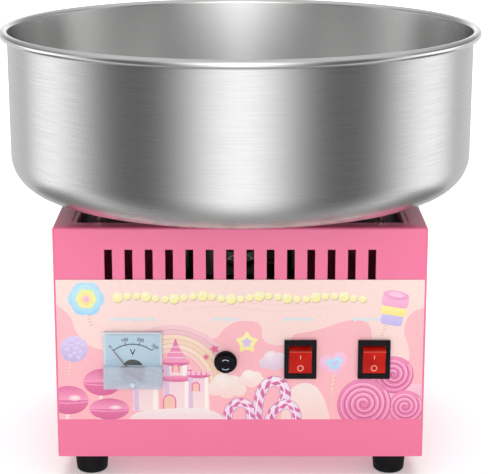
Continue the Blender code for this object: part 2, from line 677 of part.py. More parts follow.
def brushes():
    """Carbon brushes on the slip rings, and the insulating block that they slide in."""
    start = RING_RADIUS + GAP
    slack = 2 * GAP
    half_y = BRUSH_SIZE.y / 2
    inner = start + 5 * MM
    block = box("brush_block", (inner, -12 * MM, PLATE_TOP + GAP), (inner + 18 * MM, 12 * MM, PLATE_TOP + 50 * MM), BAKELITE)
    foot = bmesh.new()
    add_box(foot, (inner - 0.5 * MM, -18 * MM, PLATE_TOP + GAP), (inner + 26 * MM, 18 * MM, PLATE_TOP + 4 * MM))
    combine(block, foot, "UNION")
    channels = bmesh.new()
    for name, bottom in RING_BOTTOMS.items():
        middle = bottom + RING_HEIGHT / 2
        half_z = BRUSH_SIZE.z / 2
        box(f"{name}_brush", (start, -half_y, middle - half_z), (start + BRUSH_SIZE.x, half_y, middle + half_z), CARBON)
        add_box(channels, (inner - 5 * MM, -half_y - slack, middle - half_z - slack),
                (inner + 30 * MM, half_y + slack, middle + half_z + slack))
    combine(block, channels, "DIFFERENCE")


# ---------------------------------------------------------------- floss head


HEAD_STUDS = 3
HEAD_STUD_RADIUS = 2 * MM
HEAD_STUD_PLACE = 38 * MM


def head_stud_places():
    angles = [2 * math.pi * i / HEAD_STUDS + math.pi / 2 for i in range(HEAD_STUDS)]
    return [(HEAD_STUD_PLACE * math.cos(a), HEAD_STUD_PLACE * math.sin(a)) for a in angles]


def cap_height(radius, top_surface):
    """Height of the cap's cone at a radius, on its upper or lower surface."""
    share = (HEAD_RADIUS - radius) / (HEAD_RADIUS - FEED_RADIUS)
    return BAND_TOP + GAP + CAP_RISE * share + (1.5 * MM if top_surface else 0)


def head():
    """The spinning head: a dish, a ring heater, a slotted band and a cap with the sugar hole."""
    bore = SHAFT_RADIUS + GAP
    base = turned("head_base", [
        (BAND_RADIUS - 2.6 * MM, BAND_BOTTOM - GAP), (HEAD_RADIUS, BAND_BOTTOM - GAP),
        (HEAD_RADIUS, HEAD_FLOOR + 2 * MM), (HEAD_RADIUS - 6 * MM, HEAD_FLOOR - 2 * MM),
        (14 * MM, HEAD_FLOOR - 2 * MM), (12 * MM, HEAD_BOTTOM), (bore, HEAD_BOTTOM),
        (bore, HEAD_FLOOR + 3 * MM), (12 * MM, HEAD_FLOOR + 3 * MM), (14 * MM, HEAD_FLOOR),
        (BAND_RADIUS - 5 * MM, HEAD_FLOOR)], ALUMINIUM, steps=HEAD_STEPS)
    studs = bmesh.new()
    stud_top = cap_height(HEAD_STUD_PLACE, True) + 4 * MM
    for x, y in head_stud_places():
        add_cylinder(studs, HEAD_STUD_RADIUS, (x, y, HEAD_FLOOR - 1 * MM), (x, y, stud_top), 12)
    combine(base, studs, "UNION")

    heater_z = HEAD_FLOOR + 12 * MM
    turned("heater_ring", arc((HEATER_RADIUS, heater_z), 3.5 * MM, 360, 60, 5), DARK_STEEL)

    band = turned("head_band", ring(BAND_RADIUS - 1.2 * MM, BAND_RADIUS, BAND_BOTTOM, BAND_TOP), ALUMINIUM, steps=HEAD_STEPS)
    slots = bmesh.new()
    for i in range(BAND_SLOTS):
        turn = Matrix.Rotation(2 * math.pi * (i + 0.5) / BAND_SLOTS, 4, "Z")
        middle = Matrix.Translation((BAND_RADIUS, 0, (BAND_BOTTOM + BAND_TOP) / 2))
        bmesh.ops.create_cube(slots, size=1, matrix=turn @ middle @ Matrix.Diagonal((10 * MM, 2.6 * MM, 13 * MM, 1)))
    combine(band, slots, "DIFFERENCE")

    cap = turned("head_cap", [
        (FEED_RADIUS, cap_height(FEED_RADIUS, True) + 3 * MM), (FEED_RADIUS + 1.5 * MM, cap_height(FEED_RADIUS, True) + 2 * MM),
        (FEED_RADIUS + 2.5 * MM, cap_height(FEED_RADIUS + 2.5 * MM, True)), (HEAD_RADIUS, cap_height(HEAD_RADIUS, True)),
        (HEAD_RADIUS, BAND_TOP - 3 * MM), (HEAD_RADIUS - 1.5 * MM, BAND_TOP - 3 * MM),
        (HEAD_RADIUS - 1.5 * MM, BAND_TOP + GAP), (FEED_RADIUS, cap_height(FEED_RADIUS, False))], ALUMINIUM, steps=HEAD_STEPS)
    holes = bmesh.new()
    for x, y in head_stud_places():
        add_cylinder(holes, HEAD_STUD_RADIUS + GAP, (x, y, BAND_TOP - 5 * MM), (x, y, stud_top + 5 * MM), 16)
    combine(cap, holes, "DIFFERENCE")

    bottom = HEAD_FLOOR + 3 * MM + GAP
    hexagon = bmesh.new()
    add_cylinder(hexagon, 9.5 * MM, (0, 0, bottom), (0, 0, bottom + 8 * MM), 6)
    nut = add("head_nut", mesh_from(hexagon, "head_nut"), CHROME)
    thread = bmesh.new()
    add_cylinder(thread, bore, (0, 0, bottom - 5 * MM), (0, 0, bottom + 15 * MM), 24)
    combine(nut, thread, "DIFFERENCE")


# ---------------------------------------------------------------- voltmeter


METER_FRONT = CONTROL_SEAT - METER_FRAME - GAP - METER_COVER
DIAL_THICKNESS = 0.8 * MM
DIAL_FACE = CONTROL_SEAT - METER_FRAME - GAP - DIAL_THICKNESS


def voltmeter():
    """A square panel meter: case with a round barrel, dial, needle, clear cover and zero screw."""
    half_x, half_z = METER_WIDTH / 2, METER_HEIGHT / 2
    frame_front = CONTROL_SEAT - METER_FRAME
    case = box("voltmeter_case", (METER_X - half_x, frame_front, CONTROL_Z - half_z),
               (METER_X + half_x, CONTROL_SEAT, CONTROL_Z + half_z), PALE_PLASTIC)
    bevel(case, 0.8 * MM, segments=1)
    rear = bmesh.new()
    back = CONTROL_SEAT + METER_BARREL_DEPTH
    start = CONTROL_SEAT - 1 * MM
    add_cylinder(rear, METER_BARREL_RADIUS, (METER_X, start, CONTROL_Z), (METER_X, back, CONTROL_Z), 32)
    combine(case, rear, "UNION")
    posts = bmesh.new()
    for sign in (-1, 1):
        x = METER_X + sign * 11 * MM
        add_cylinder(posts, 2 * MM, (x, back - 1 * MM, CONTROL_Z), (x, back + 12 * MM, CONTROL_Z), 12)
    combine(case, posts, "UNION")

    edge = METER_WALL + 1 * MM
    box("voltmeter_dial", (METER_X - half_x + edge, DIAL_FACE, CONTROL_Z - half_z + edge),
        (METER_X + half_x - edge, DIAL_FACE + DIAL_THICKNESS, CONTROL_Z + half_z - edge), PALE_PLASTIC)

    bm = bmesh.new()
    add_box(bm, (METER_X - half_x, METER_FRONT, CONTROL_Z - half_z),
            (METER_X + half_x, frame_front - GAP, CONTROL_Z + half_z))
    bm.normal_update()
    bmesh.ops.delete(bm, geom=[f for f in bm.faces if f.normal.y > 0.9], context="FACES")
    cover = add("voltmeter_cover", mesh_from(bm, "voltmeter_cover"), CLEAR_PLASTIC)
    bevel(cover, 1 * MM, segments=2, angle=60)
    solid = cover.modifiers.new("wall", "SOLIDIFY")
    solid.thickness = METER_WALL
    solid.offset = -1
    solid.use_even_offset = True
    hole = bmesh.new()
    place = (METER_X, CONTROL_Z - ZERO_SCREW_DROP)
    add_cylinder(hole, ZERO_SCREW_RADIUS + GAP, (place[0], METER_FRONT - 5 * MM, place[1]),
                 (place[0], METER_FRONT + 5 * MM, place[1]), 24)
    combine(cover, hole, "DIFFERENCE")

    screw = turned("zero_screw", [
        (0, 0.8 * MM), (ZERO_SCREW_RADIUS - 0.4 * MM, 0.8 * MM), (ZERO_SCREW_RADIUS, 0.4 * MM),
        (ZERO_SCREW_RADIUS, -2.2 * MM), (0, -2.2 * MM)], PALE_PLASTIC, closed=False, steps=16,
        location=(METER_X, METER_FRONT, CONTROL_Z - ZERO_SCREW_DROP), rotation=ALONG_FRONT)
    slit = bmesh.new()
    centre = Matrix.Translation((METER_X, METER_FRONT, CONTROL_Z - ZERO_SCREW_DROP))
    bmesh.ops.create_cube(slit, size=1, matrix=centre @ Matrix.Diagonal((8 * MM, 3 * MM, 0.8 * MM, 1))
                          @ Matrix.Translation((0, -0.4, 0)))
    combine(screw, slit, "DIFFERENCE")

    root, tip, hub = 0.9 * MM, 0.3 * MM, 3.2 * MM
    points = [(root, hub * 0.9), (tip, NEEDLE_LENGTH), (-tip, NEEDLE_LENGTH), (-root, hub * 0.9)]
    points += [(hub * math.cos(a), hub * math.sin(a)) for a in [math.radians(110 + 32 * i) for i in range(11)]]
    outline("voltmeter_needle", points, 0.6 * MM, BLACK_PLASTIC,
            location=(METER_X, DIAL_FACE - 1.8 * MM, CONTROL_Z - NEEDLE_PIVOT_DROP),
            rotation=(math.pi / 2, -NEEDLE_REST, 0))


# ---------------------------------------------------------------- fuse holder


def fuse_holder():
    """A panel fuse holder. Its cap turns to unlock and comes out with the glass fuse."""
    place = {"location": (FUSE_X, CONTROL_SEAT, FUSE_Z), "rotation": ALONG_FRONT}
    flange = 2.5 * MM
    turned("fuse_holder", [
        (FUSE_BORE_RADIUS, flange), (FUSE_FLANGE_RADIUS - 1 * MM, flange), (FUSE_FLANGE_RADIUS, flange - 1 * MM),
        (FUSE_FLANGE_RADIUS, 0), (FUSE_BARREL_RADIUS, 0), (FUSE_BARREL_RADIUS, -38 * MM), (3 * MM, -38 * MM),
        (3 * MM, -44 * MM), (1.4 * MM, -44 * MM), (1.4 * MM, -36 * MM), (FUSE_BORE_RADIUS, -36 * MM)],
        BLACK_PLASTIC, steps=20, **place)
    front = flange + GAP
    depth = 8.5 * MM
    clip_inner, stem = 3.4 * MM, FUSE_BORE_RADIUS - GAP
    turned("fuse_cap", [
        (0, front + depth), (FUSE_CAP_RADIUS - 1.2 * MM, front + depth), (FUSE_CAP_RADIUS, front + depth - 1.2 * MM),
        (FUSE_CAP_RADIUS, front), (stem, front), (stem, -8 * MM), (clip_inner, -8 * MM), (clip_inner, 1 * MM),
        (0, 1 * MM)], BLACK_PLASTIC, closed=False, steps=20, **place)
    radius, end = 3 * MM, 0.5 * MM
    cap_ring = radius + 0.1 * MM
    turned("fuse_link", [
        (0, end), (cap_ring, end), (cap_ring, end - 6 * MM), (radius - 0.3 * MM, end - 6 * MM),
        (radius - 0.3 * MM, end - 24 * MM), (cap_ring, end - 24 * MM), (cap_ring, end - 30 * MM),
        (0, end - 30 * MM)], GLASS, closed=False, steps=16, **place)


# ---------------------------------------------------------------- rocker switches


def rocker_outline():
    """Side view of a rocker: (outwards, up) from its pivot, with a hollow front face."""
    corner, shoulder = (9 * MM, 13 * MM), (-3 * MM, 15 * MM)
    sag = 1.8 * MM
    front = []
    for i in range(9):
        t = 1 - i / 4
        front.append((corner[0] - sag * (1 - t * t), corner[1] * t))
    return [shoulder, *front, (shoulder[0], -shoulder[1]), (-6 * MM, -9 * MM), (-6 * MM, 9 * MM)]


def rocker_switches():
    """Snap-in rocker switches. Each rests with its lower, off, end pressed in."""
    for name, x in SWITCH_X.items():
        half = BEZEL / 2
        front = CONTROL_SEAT - BEZEL.y
        frame = box(f"{name}_switch_frame", (x - half.x, front, CONTROL_Z - half.z),
                    (x + half.x, CONTROL_SEAT, CONTROL_Z + half.z), BLACK_PLASTIC)
        bevel(frame, 0.9 * MM, segments=2)
        rear = bmesh.new()
        body = SWITCH_BODY / 2
        back = CONTROL_SEAT + SWITCH_BODY.y
        add_box(rear, (x - body.x, CONTROL_SEAT - 1 * MM, CONTROL_Z - body.z), (x + body.x, back, CONTROL_Z + body.z))
        combine(frame, rear, "UNION")
        blades = bmesh.new()
        for step in (-1, 0, 1):
            z = CONTROL_Z + step * 11 * MM
            add_box(blades, (x - 3.1 * MM, back - 1 * MM, z - 0.4 * MM), (x + 3.1 * MM, back + 9 * MM, z + 0.4 * MM))
        combine(frame, blades, "UNION")
        pocket = bmesh.new()
        window = SWITCH_WINDOW / 2
        add_box(pocket, (x - window.x, front - 5 * MM, CONTROL_Z - window.z),
                (x + window.x, front + SWITCH_WINDOW.y, CONTROL_Z + window.z))
        combine(frame, pocket, "DIFFERENCE")

        pivot = (x, front + 5.5 * MM, CONTROL_Z)
        points = [(-out, up) for out, up in rocker_outline()]
        outline(f"{name}_rocker", points, ROCKER_WIDTH, RED_PLASTIC, location=pivot,
                rotation=(math.pi / 2, -ROCKER_TILT, math.pi / 2))


# ---------------------------------------------------------------- mains side


def power_inlet():
    """The mains socket in the rear panel, with its three pins."""
    flange = Vector((48, 3, 23)) * MM
    bottom = BACK + GAP
    body = box("power_inlet", (INLET_X - flange.x / 2, bottom, INLET_Z - flange.z / 2),
               (INLET_X + flange.x / 2, bottom + flange.y, INLET_Z + flange.z / 2), BLACK_PLASTIC)
    bevel(body, 1.2 * MM, segments=2)
    rear = bmesh.new()
    half = INLET_BODY / 2
    inner = BACK - INLET_BODY.y
    add_box(rear, (INLET_X - half.x, inner, INLET_Z - half.z), (INLET_X + half.x, bottom + 1 * MM, INLET_Z + half.z))
    combine(body, rear, "UNION")
    recess = bmesh.new()
    half -= Vector((1.4, 0, 1.4)) * MM
    add_box(recess, (INLET_X - half.x, inner + 3 * MM, INLET_Z - half.z), (INLET_X + half.x, bottom + 9 * MM, INLET_Z + half.z))
    combine(body, recess, "DIFFERENCE")
    pins = bmesh.new()
    for x, z in ((-7, -2), (0, 2), (7, -2)):
        place = Vector((INLET_X + x * MM, 0, INLET_Z + z * MM))
        add_box(pins, place + Vector((-1 * MM, inner + 1 * MM, -2 * MM)), place + Vector((1 * MM, inner + 13 * MM, 2 * MM)))
    combine(body, pins, "UNION")


BOARD_LOW = Vector((70, 20, 38)) * MM
BOARD_SIZE = Vector((80, 60, 1.6)) * MM


def control_board():
    """The rectifier and filter board that feeds the motor, on four standoffs."""
    board = box("control_board", BOARD_LOW, BOARD_LOW + BOARD_SIZE, BOARD)
    high = BOARD_LOW.z + BOARD_SIZE.z
    legs = bmesh.new()
    for x in (5 * MM, BOARD_SIZE.x - 5 * MM):
        for y in (5 * MM, BOARD_SIZE.y - 5 * MM):
            place = BOARD_LOW + Vector((x, y, 0))
            foot = (place.x, place.y, BODY_BOTTOM + GAP + 1.5 * MM + GAP)
            add_cylinder(legs, 3 * MM, foot, (place.x, place.y, high - 0.5 * MM), 12)
    combine(board, legs, "UNION")
    parts = bmesh.new()
    add_cylinder(parts, 9 * MM, BOARD_LOW + Vector((20, 42, 1)) * MM, BOARD_LOW + Vector((20, 42, 32)) * MM, 24)
    add_box(parts, BOARD_LOW + Vector((40, 30, 1)) * MM, BOARD_LOW + Vector((66, 52, 24)) * MM)
    add_box(parts, BOARD_LOW + Vector((10, 8, 1)) * MM, BOARD_LOW + Vector((34, 18, 12)) * MM)
    add_box(parts, BOARD_LOW + Vector((44, 8, 1)) * MM, BOARD_LOW + Vector((70, 20, 10)) * MM)
    combine(board, parts, "UNION")


def leads():
    """The two main leads: from the board to the motor, and from the heat switch to the brushes."""
    board_top = BOARD_LOW.z + BOARD_SIZE.z
    lead("motor_lead", [
        (0.112, 0.030, board_top + 0.012), (0.100, 0.010, board_top + 0.040),
        (0.075, -0.004, 0.095), (0.050, 0.000, 0.120), (MOTOR_RADIUS + 0.0025, 0.000, 0.135)], 1.6 * MM, CABLE)
    switch_back = CONTROL_SEAT + SWITCH_BODY.y + 9.6 * MM
    block_back = RING_RADIUS + 5.3 * MM + 18 * MM
    lead("heater_lead", [
        (SWITCH_X["heat"], switch_back + 0.002, CONTROL_Z + 0.011), (0.070, -0.085, 0.155), (0.085, -0.050, 0.195),
        (0.078, -0.020, 0.222), (block_back + 0.003, -0.010, 0.233)], 1.6 * MM, CABLE)


def build():
    housing_shell()
    rear_panel()
    rear_screws()
    base_plate()
    feet()
    front_decal()
    deck_plate()
    bowl_posts()
    bowl()
    bowl_clips()
    motor_plate()
    dampers()
    motor()
    drive_shaft()
    slip_rings()
    brushes()
    head()
    voltmeter()
    fuse_holder()
    rocker_switches()
    power_inlet()
    control_board()
    leads()


build()
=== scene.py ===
"""Looks of the countertop cotton candy machine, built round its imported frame.

Metres, +Z up, +Y to the back. The origin is on the floor, on the axis of the motor, head and bowl.
"""

import functools
import math

import bmesh
import bpy
from mathutils import Matrix, Vector


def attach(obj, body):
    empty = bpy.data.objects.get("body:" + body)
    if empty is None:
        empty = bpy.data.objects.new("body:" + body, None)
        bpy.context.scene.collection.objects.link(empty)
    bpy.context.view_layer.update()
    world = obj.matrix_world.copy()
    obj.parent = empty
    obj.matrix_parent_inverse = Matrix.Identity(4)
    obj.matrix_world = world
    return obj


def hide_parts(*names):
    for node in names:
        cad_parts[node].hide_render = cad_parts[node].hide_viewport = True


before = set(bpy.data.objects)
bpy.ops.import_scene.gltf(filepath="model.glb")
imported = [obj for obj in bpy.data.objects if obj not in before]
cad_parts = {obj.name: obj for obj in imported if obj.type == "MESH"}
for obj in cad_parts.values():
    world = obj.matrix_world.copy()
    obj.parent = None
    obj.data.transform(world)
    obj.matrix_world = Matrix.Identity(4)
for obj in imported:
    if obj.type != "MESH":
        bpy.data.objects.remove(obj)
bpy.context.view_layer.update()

MM = 0.001
GAP = 0.3 * MM

# Body
HALF_WIDTH = 195 * MM
FRONT, BACK = -140 * MM, 140 * MM
BODY_BOTTOM, BODY_TOP = 24 * MM, 276.5 * MM
SHEET = 1.2 * MM
BEND_RADIUS = 3 * MM
OPENING_HALF_X, OPENING_HALF_Y = 171.5 * MM, 116 * MM
LIP_DEPTH = 12 * MM
REAR_FLANGE = 14 * MM
SHELL_BACK = BACK - SHEET - GAP
SLOT_WIDTH = 8.2 * MM
SLOT_PITCH = 21.1 * MM
FRONT_SLOTS, SIDE_SLOTS = 14, 6
SLOT_BOTTOM, SLOT_TOP = 218 * MM, 253 * MM
REAR_SLOT_DROP = 20 * MM
DECK_TOP = BODY_TOP - LIP_DEPTH - GAP
DECK_BOTTOM = DECK_TOP - 1.5 * MM
DECK_HALF_X, DECK_HALF_Y, DECK_BORE = 180.5 * MM, 125 * MM, 20 * MM
SCREW_X, SCREW_Z = HALF_WIDTH - REAR_FLANGE / 2, 236 * MM
FOOT_X, FOOT_Y = 161 * MM, 115 * MM

# Front panel and controls
DECAL_HALF = 192.5 * MM
DECAL_BOTTOM, DECAL_TOP = 66.3 * MM, 220.8 * MM
DECAL_FACE = FRONT - 0.7 * MM
CONTROL_SEAT = DECAL_FACE - GAP
CONTROL_Z = 134 * MM
METER_X = -113 * MM
METER_PLACE = (METER_X, CONTROL_Z)
METER_HALF = (31 * MM, 30.3 * MM)
METER_BORE = 25.6 * MM
METER_FRONT = CONTROL_SEAT - 12 * MM
METER_FRAME = CONTROL_SEAT - 3 * MM
METER_WALL = 1.4 * MM
DIAL_FACE = CONTROL_SEAT - 4.1 * MM
INK_FACE = DIAL_FACE - 0.01 * MM
PIVOT_Z = CONTROL_Z - 15 * MM
NEEDLE_REST = math.radians(38)
SCALE_RADIUS = 32.5 * MM
ZERO_SCREW_Z = CONTROL_Z - 25 * MM
FUSE_PLACE = (-15.4 * MM, 131 * MM)
FUSE_BORE, FUSE_FLANGE, FUSE_TUBE = 8.6 * MM, 2.5 * MM, 5.9 * MM
KNOB_BOTTOM = FUSE_FLANGE + GAP
KNOB_TOP = KNOB_BOTTOM + 8.5 * MM
SWITCH_X = {"heat": 63.4 * MM, "power": 141 * MM}
SWITCH_HOLE = (14.6 * MM, 18.8 * MM)
SWITCH_FRONT = CONTROL_SEAT - 3.5 * MM
ROCKER_TILT = math.radians(12)
ROCKER_REACH, ROCKER_DISH, ROCKER_HALF = 9 * MM, 1.8 * MM, 13 * MM
INLET_PLACE = (120 * MM, 64 * MM)
INLET_HOLE = (14.1 * MM, 10.3 * MM)
INLET_PINS = [(x * MM, z * MM) for x, z in ((113, 62), (120, 66), (127, 62))]

# Bowl and head
BOWL_BOTTOM, BOWL_TOP = 295 * MM, 468 * MM
BOWL_RADIUS = 260 * MM
BOWL_HOLE = 90 * MM
BEAD_RADIUS = 4.1 * MM
BOWL_SHEET = 1 * MM
BOWL_CORNER, LIP_FILLET, LIP_HEIGHT = 37.5 * MM, 4 * MM, 12 * MM
POST_X, POST_Y, POST_RADIUS = 150 * MM, 85 * MM, 5 * MM
CLIP_PLACE = 74 * MM
BAND_BOTTOM, BAND_TOP = 324.3 * MM, 343.7 * MM
BAND_RADIUS = 61.2 * MM
HEAD_RADIUS = 64 * MM
HEAD_FLOOR = 318 * MM
FEED_RADIUS = 27 * MM
STUD_RADIUS = 38 * MM
SHAFT_BORE = 5.3 * MM
SHAFT_BOTTOM, SHAFT_TOP = 96 * MM, 338 * MM
COIL_RADIUS, COIL_LOOP, COIL_WIRE = 50 * MM, 2.7 * MM, 0.75 * MM

FACING_FRONT = Matrix.Rotation(math.pi / 2, 4, "X")  # turns +Z to the front, -Y
FACING_BACK = Matrix.Rotation(-math.pi / 2, 4, "X")


def srgb(red, green, blue):
    """A linear colour from 0-255 display values."""
    def linear(value):
        value /= 255
        return value / 12.92 if value <= 0.04045 else ((value + 0.055) / 1.055) ** 2.4
    return (linear(red), linear(green), linear(blue), 1)


def blend_colors(a, b, share):
    return tuple(x + (y - x) * share for x, y in zip(a, b))


def darker(color, share):
    return tuple(c * share for c in color[:3]) + (1,)


# ---------------------------------------------------------------- materials


class Look:
    """A Principled material under construction."""

    def __init__(self, name, color, roughness, metallic=0.0, **settings):
        self.material = bpy.data.materials.new(name)
        self.material.use_nodes = True
        self.tree = self.material.node_tree
        self.shader = self.tree.nodes["Principled BSDF"]
        self.color = color
        self.normal = None
        values = {"Base Color": color, "Roughness": roughness, "Metallic": metallic}
        values.update({key.replace("_", " "): value for key, value in settings.items()})
        for key, value in values.items():
            self.shader.inputs[key].default_value = value

    def node(self, kind, inputs=None, **settings):
        made = self.tree.nodes.new(f"ShaderNode{kind}")
        for key, value in settings.items():
            setattr(made, key, value)
        for key, value in (inputs or {}).items():
            socket = made.inputs[key]
            if isinstance(value, bpy.types.NodeSocket):
                self.tree.links.new(value, socket)
            else:
                socket.default_value = value
        return made

    def place(self):
        """Object coordinates."""
        return self.node("TexCoord").outputs["Object"]

    def noise(self, scale, stretch=(1, 1, 1), detail=3.0, vector=None):
        """Noise with so many features a metre, drawn out along an axis where stretch is small."""
        inputs = {"Vector": vector or self.place(), "Scale": [scale * s for s in stretch]}
        scaled = self.node("Mapping", inputs)
        made = self.node("TexNoise", {"Vector": scaled.outputs[0], "Scale": 1.0, "Detail": detail})
        return made.outputs[0]

    def math(self, operation, first, second=0.0):
        return self.node("Math", {0: first, 1: second}, operation=operation).outputs[0]

    def spread(self, value, low, high, start=0.3, end=0.7):
        """The value from start to end, mapped to low to high."""
        inputs = {"Value": value, "From Min": start, "From Max": end, "To Min": low, "To Max": high}
        return self.node("MapRange", inputs).outputs[0]

    def rough(self, value, low, high):
        self.tree.links.new(self.spread(value, low, high), self.shader.inputs["Roughness"])
        return self

    def tint(self, value, other, share=1.0, start=0.3, end=0.7):
        """Mixes another colour into the surface's own where the value is high."""
        factor = self.spread(value, 0.0, share, start, end)
        socket = self.shader.inputs["Base Color"]
        current = socket.links[0].from_socket if socket.links else self.color
        mixed = self.node("Mix", {0: factor, 6: current, 7: other}, data_type="RGBA")
        self.tree.links.new(mixed.outputs[2], socket)
        return self

    def bump(self, value, depth, strength=1.0):
        """Relief of so many metres, on top of any there already."""
        inputs = {"Height": value, "Distance": depth, "Strength": strength}
        if self.normal:
            inputs["Normal"] = self.normal
        self.normal = self.node("Bump", inputs).outputs[0]
        self.tree.links.new(self.normal, self.shader.inputs["Normal"])
        return self


def powder_coat():
    look = Look("powder_coat", srgb(241, 115, 157), 0.36, Coat_Weight=0.25, Coat_Roughness=0.2)
    look.tint(look.noise(9, detail=2), srgb(236, 110, 150), 0.5)
    look.rough(look.noise(260), 0.32, 0.42)
    look.bump(look.noise(650, detail=2), 0.00006, 0.5)
    return look.material


def around_axis(look):
    """Turns the highlights round Z. Gives X, Y and a coordinate that grows across the brush lines."""
    x, y, z = look.node("SeparateXYZ", {0: look.place()}).outputs
    flat = look.node("CombineXYZ", {0: x, 1: y}).outputs[0]
    radius = look.node("VectorMath", {0: flat}, operation="LENGTH").outputs["Value"]
    tangent = look.node("Tangent", direction_type="RADIAL", axis="Z").outputs[0]
    look.tree.links.new(tangent, look.shader.inputs["Tangent"])
    return x, y, look.math("ADD", z, radius)


def brushed_steel(name, roughness=(0.24, 0.34), color=(0.74, 0.74, 0.735, 1), anisotropy=0.75):
    """Stainless steel with fine brush lines that run round the axis."""
    look = Look(name, color, 0.3, 1.0, Anisotropic=anisotropy, Anisotropic_Rotation=0.25)
    x, y, across = around_axis(look)
    line = look.node("CombineXYZ", {0: x, 1: y, 2: across}).outputs[0]
    fine = look.noise(1900, (0.012, 0.012, 1), 4, line)
    broad = look.noise(420, (0.02, 0.02, 1), 2, line)
    look.rough(fine, *roughness)
    look.tint(fine, darker(color, 0.86), 0.8)
    look.tint(broad, darker(color, 0.93), 0.6)
    look.bump(fine, 0.00002, 0.35)
    return look.material


def polished_metal(name, color, roughness, scratch=0.04):
    look = Look(name, color, roughness, 1.0)
    marks = look.noise(900, (0.1, 1, 0.3))
    look.rough(marks, roughness, roughness + scratch)
    look.tint(look.noise(60), darker(color, 0.93), 0.6)
    look.bump(marks, 0.000004, 0.3)
    return look.material


def spun_aluminium():
    """Aluminium with the rings that a lathe leaves round the axis."""
    look = Look("spun_aluminium", (0.8, 0.8, 0.81, 1), 0.32, 1.0, Anisotropic=0.4, Anisotropic_Rotation=0.25)
    across = around_axis(look)[2]
    rings = look.noise(2600, (0, 0, 1), 2, look.node("CombineXYZ", {2: across}).outputs[0])
    look.rough(rings, 0.26, 0.4)
    look.tint(rings, (0.62, 0.62, 0.64, 1), 0.5)
    look.bump(rings, 0.00003, 0.5)
    return look.material


def moulded(name, color, roughness, grain=1400, depth=0.00001, second=None, **settings):
    """Moulded plastic or rubber, with fine grain and slight unevenness."""
    look = Look(name, color, roughness, **settings)
    look.rough(look.noise(180), roughness - 0.05, roughness + 0.06)
    look.tint(look.noise(70), second or darker(color, 0.8), 0.6)
    look.bump(look.noise(grain, detail=2), depth, 0.5)
    return look.material


def painted_dark():
    look = Look("satin_black_paint", (0.008, 0.009, 0.012, 1), 0.34, Specular_IOR_Level=0.12)
    look.rough(look.noise(220), 0.28, 0.42)
    look.tint(look.noise(30), (0.022, 0.023, 0.028, 1), 0.6)
    look.bump(look.noise(700, detail=2), 0.00004, 0.5)
    return look.material


def zinc_plate():
    look = Look("zinc_plate", (0.62, 0.63, 0.65, 1), 0.34, 1.0)
    look.rough(look.noise(140), 0.26, 0.46)
    look.tint(look.noise(35, detail=5), (0.48, 0.49, 0.52, 1), 0.8)
    look.bump(look.noise(900, (0.05, 0.05, 1)), 0.00001, 0.4)
    return look.material


def circuit_board():
    look = Look("circuit_board", (0.015, 0.17, 0.06, 1), 0.35, Coat_Weight=0.4)
    cells = look.node("TexVoronoi", {"Vector": look.place(), "Scale": 260.0}, distance="MANHATTAN")
    look.tint(cells.outputs["Distance"], (0.03, 0.3, 0.11, 1), 0.7, 0.2, 0.6)
    look.bump(cells.outputs["Distance"], 0.00004, 0.5)
    return look.material


def carbon():
    look = Look("pressed_carbon", (0.025, 0.025, 0.027, 1), 0.5, 0.2)
    look.tint(look.noise(1500, detail=5), (0.07, 0.07, 0.075, 1), 0.8)
    look.bump(look.noise(1500), 0.00003, 0.6)
    return look.material


def printed_film():
    """Colours printed on glossy film, with the faint grain of the print."""
    look = Look("printed_film", (0.9, 0.6, 0.62, 1), 0.32, Coat_Weight=0.35, Coat_Roughness=0.12)
    ink = look.node("Attribute", attribute_name="ink").outputs["Color"]
    look.tree.links.new(ink, look.shader.inputs["Base Color"])
    look.tint(look.noise(2400, detail=1), (0.5, 0.4, 0.4, 1), 0.28)
    look.rough(look.noise(300), 0.26, 0.38)
    look.bump(look.noise(420, detail=1), 0.00001, 0.4)
    return look.material


def clear_window():
    look = Look("clear_window", (0.82, 0.9, 0.95, 1), 0.06, Alpha=0.05, Specular_IOR_Level=0.2)
    look.rough(look.noise(90), 0.04, 0.1)
    return look.material


def frosted_window():
    """The ribbed lower half of the meter's cover."""
    look = Look("frosted_window", srgb(222, 227, 238), 0.42, Alpha=0.38)
    across = look.node("SeparateXYZ", {0: look.place()}).outputs[0]
    ribs = look.math("SINE", look.math("MULTIPLY", across, 4200.0))
    look.tint(look.noise(120, (1, 1, 3)), srgb(196, 203, 220), 0.7)
    look.bump(ribs, 0.0002, 0.5)
    return look.material


def red_lens():
    look = Look("red_lens", srgb(172, 15, 9), 0.2, Specular_IOR_Level=0.12)
    look.tint(look.noise(55, detail=2), srgb(208, 38, 22), 0.7)
    look.rough(look.noise(300), 0.16, 0.26)
    look.bump(look.noise(500, detail=1), 0.00001, 0.4)
    return look.material


def heat_blued_wire():
    look = Look("heat_blued_wire", (0.2, 0.15, 0.13, 1), 0.45, 0.9)
    look.tint(look.noise(120), (0.12, 0.13, 0.22, 1), 0.8)
    look.bump(look.noise(2500), 0.00003, 0.6)
    return look.material


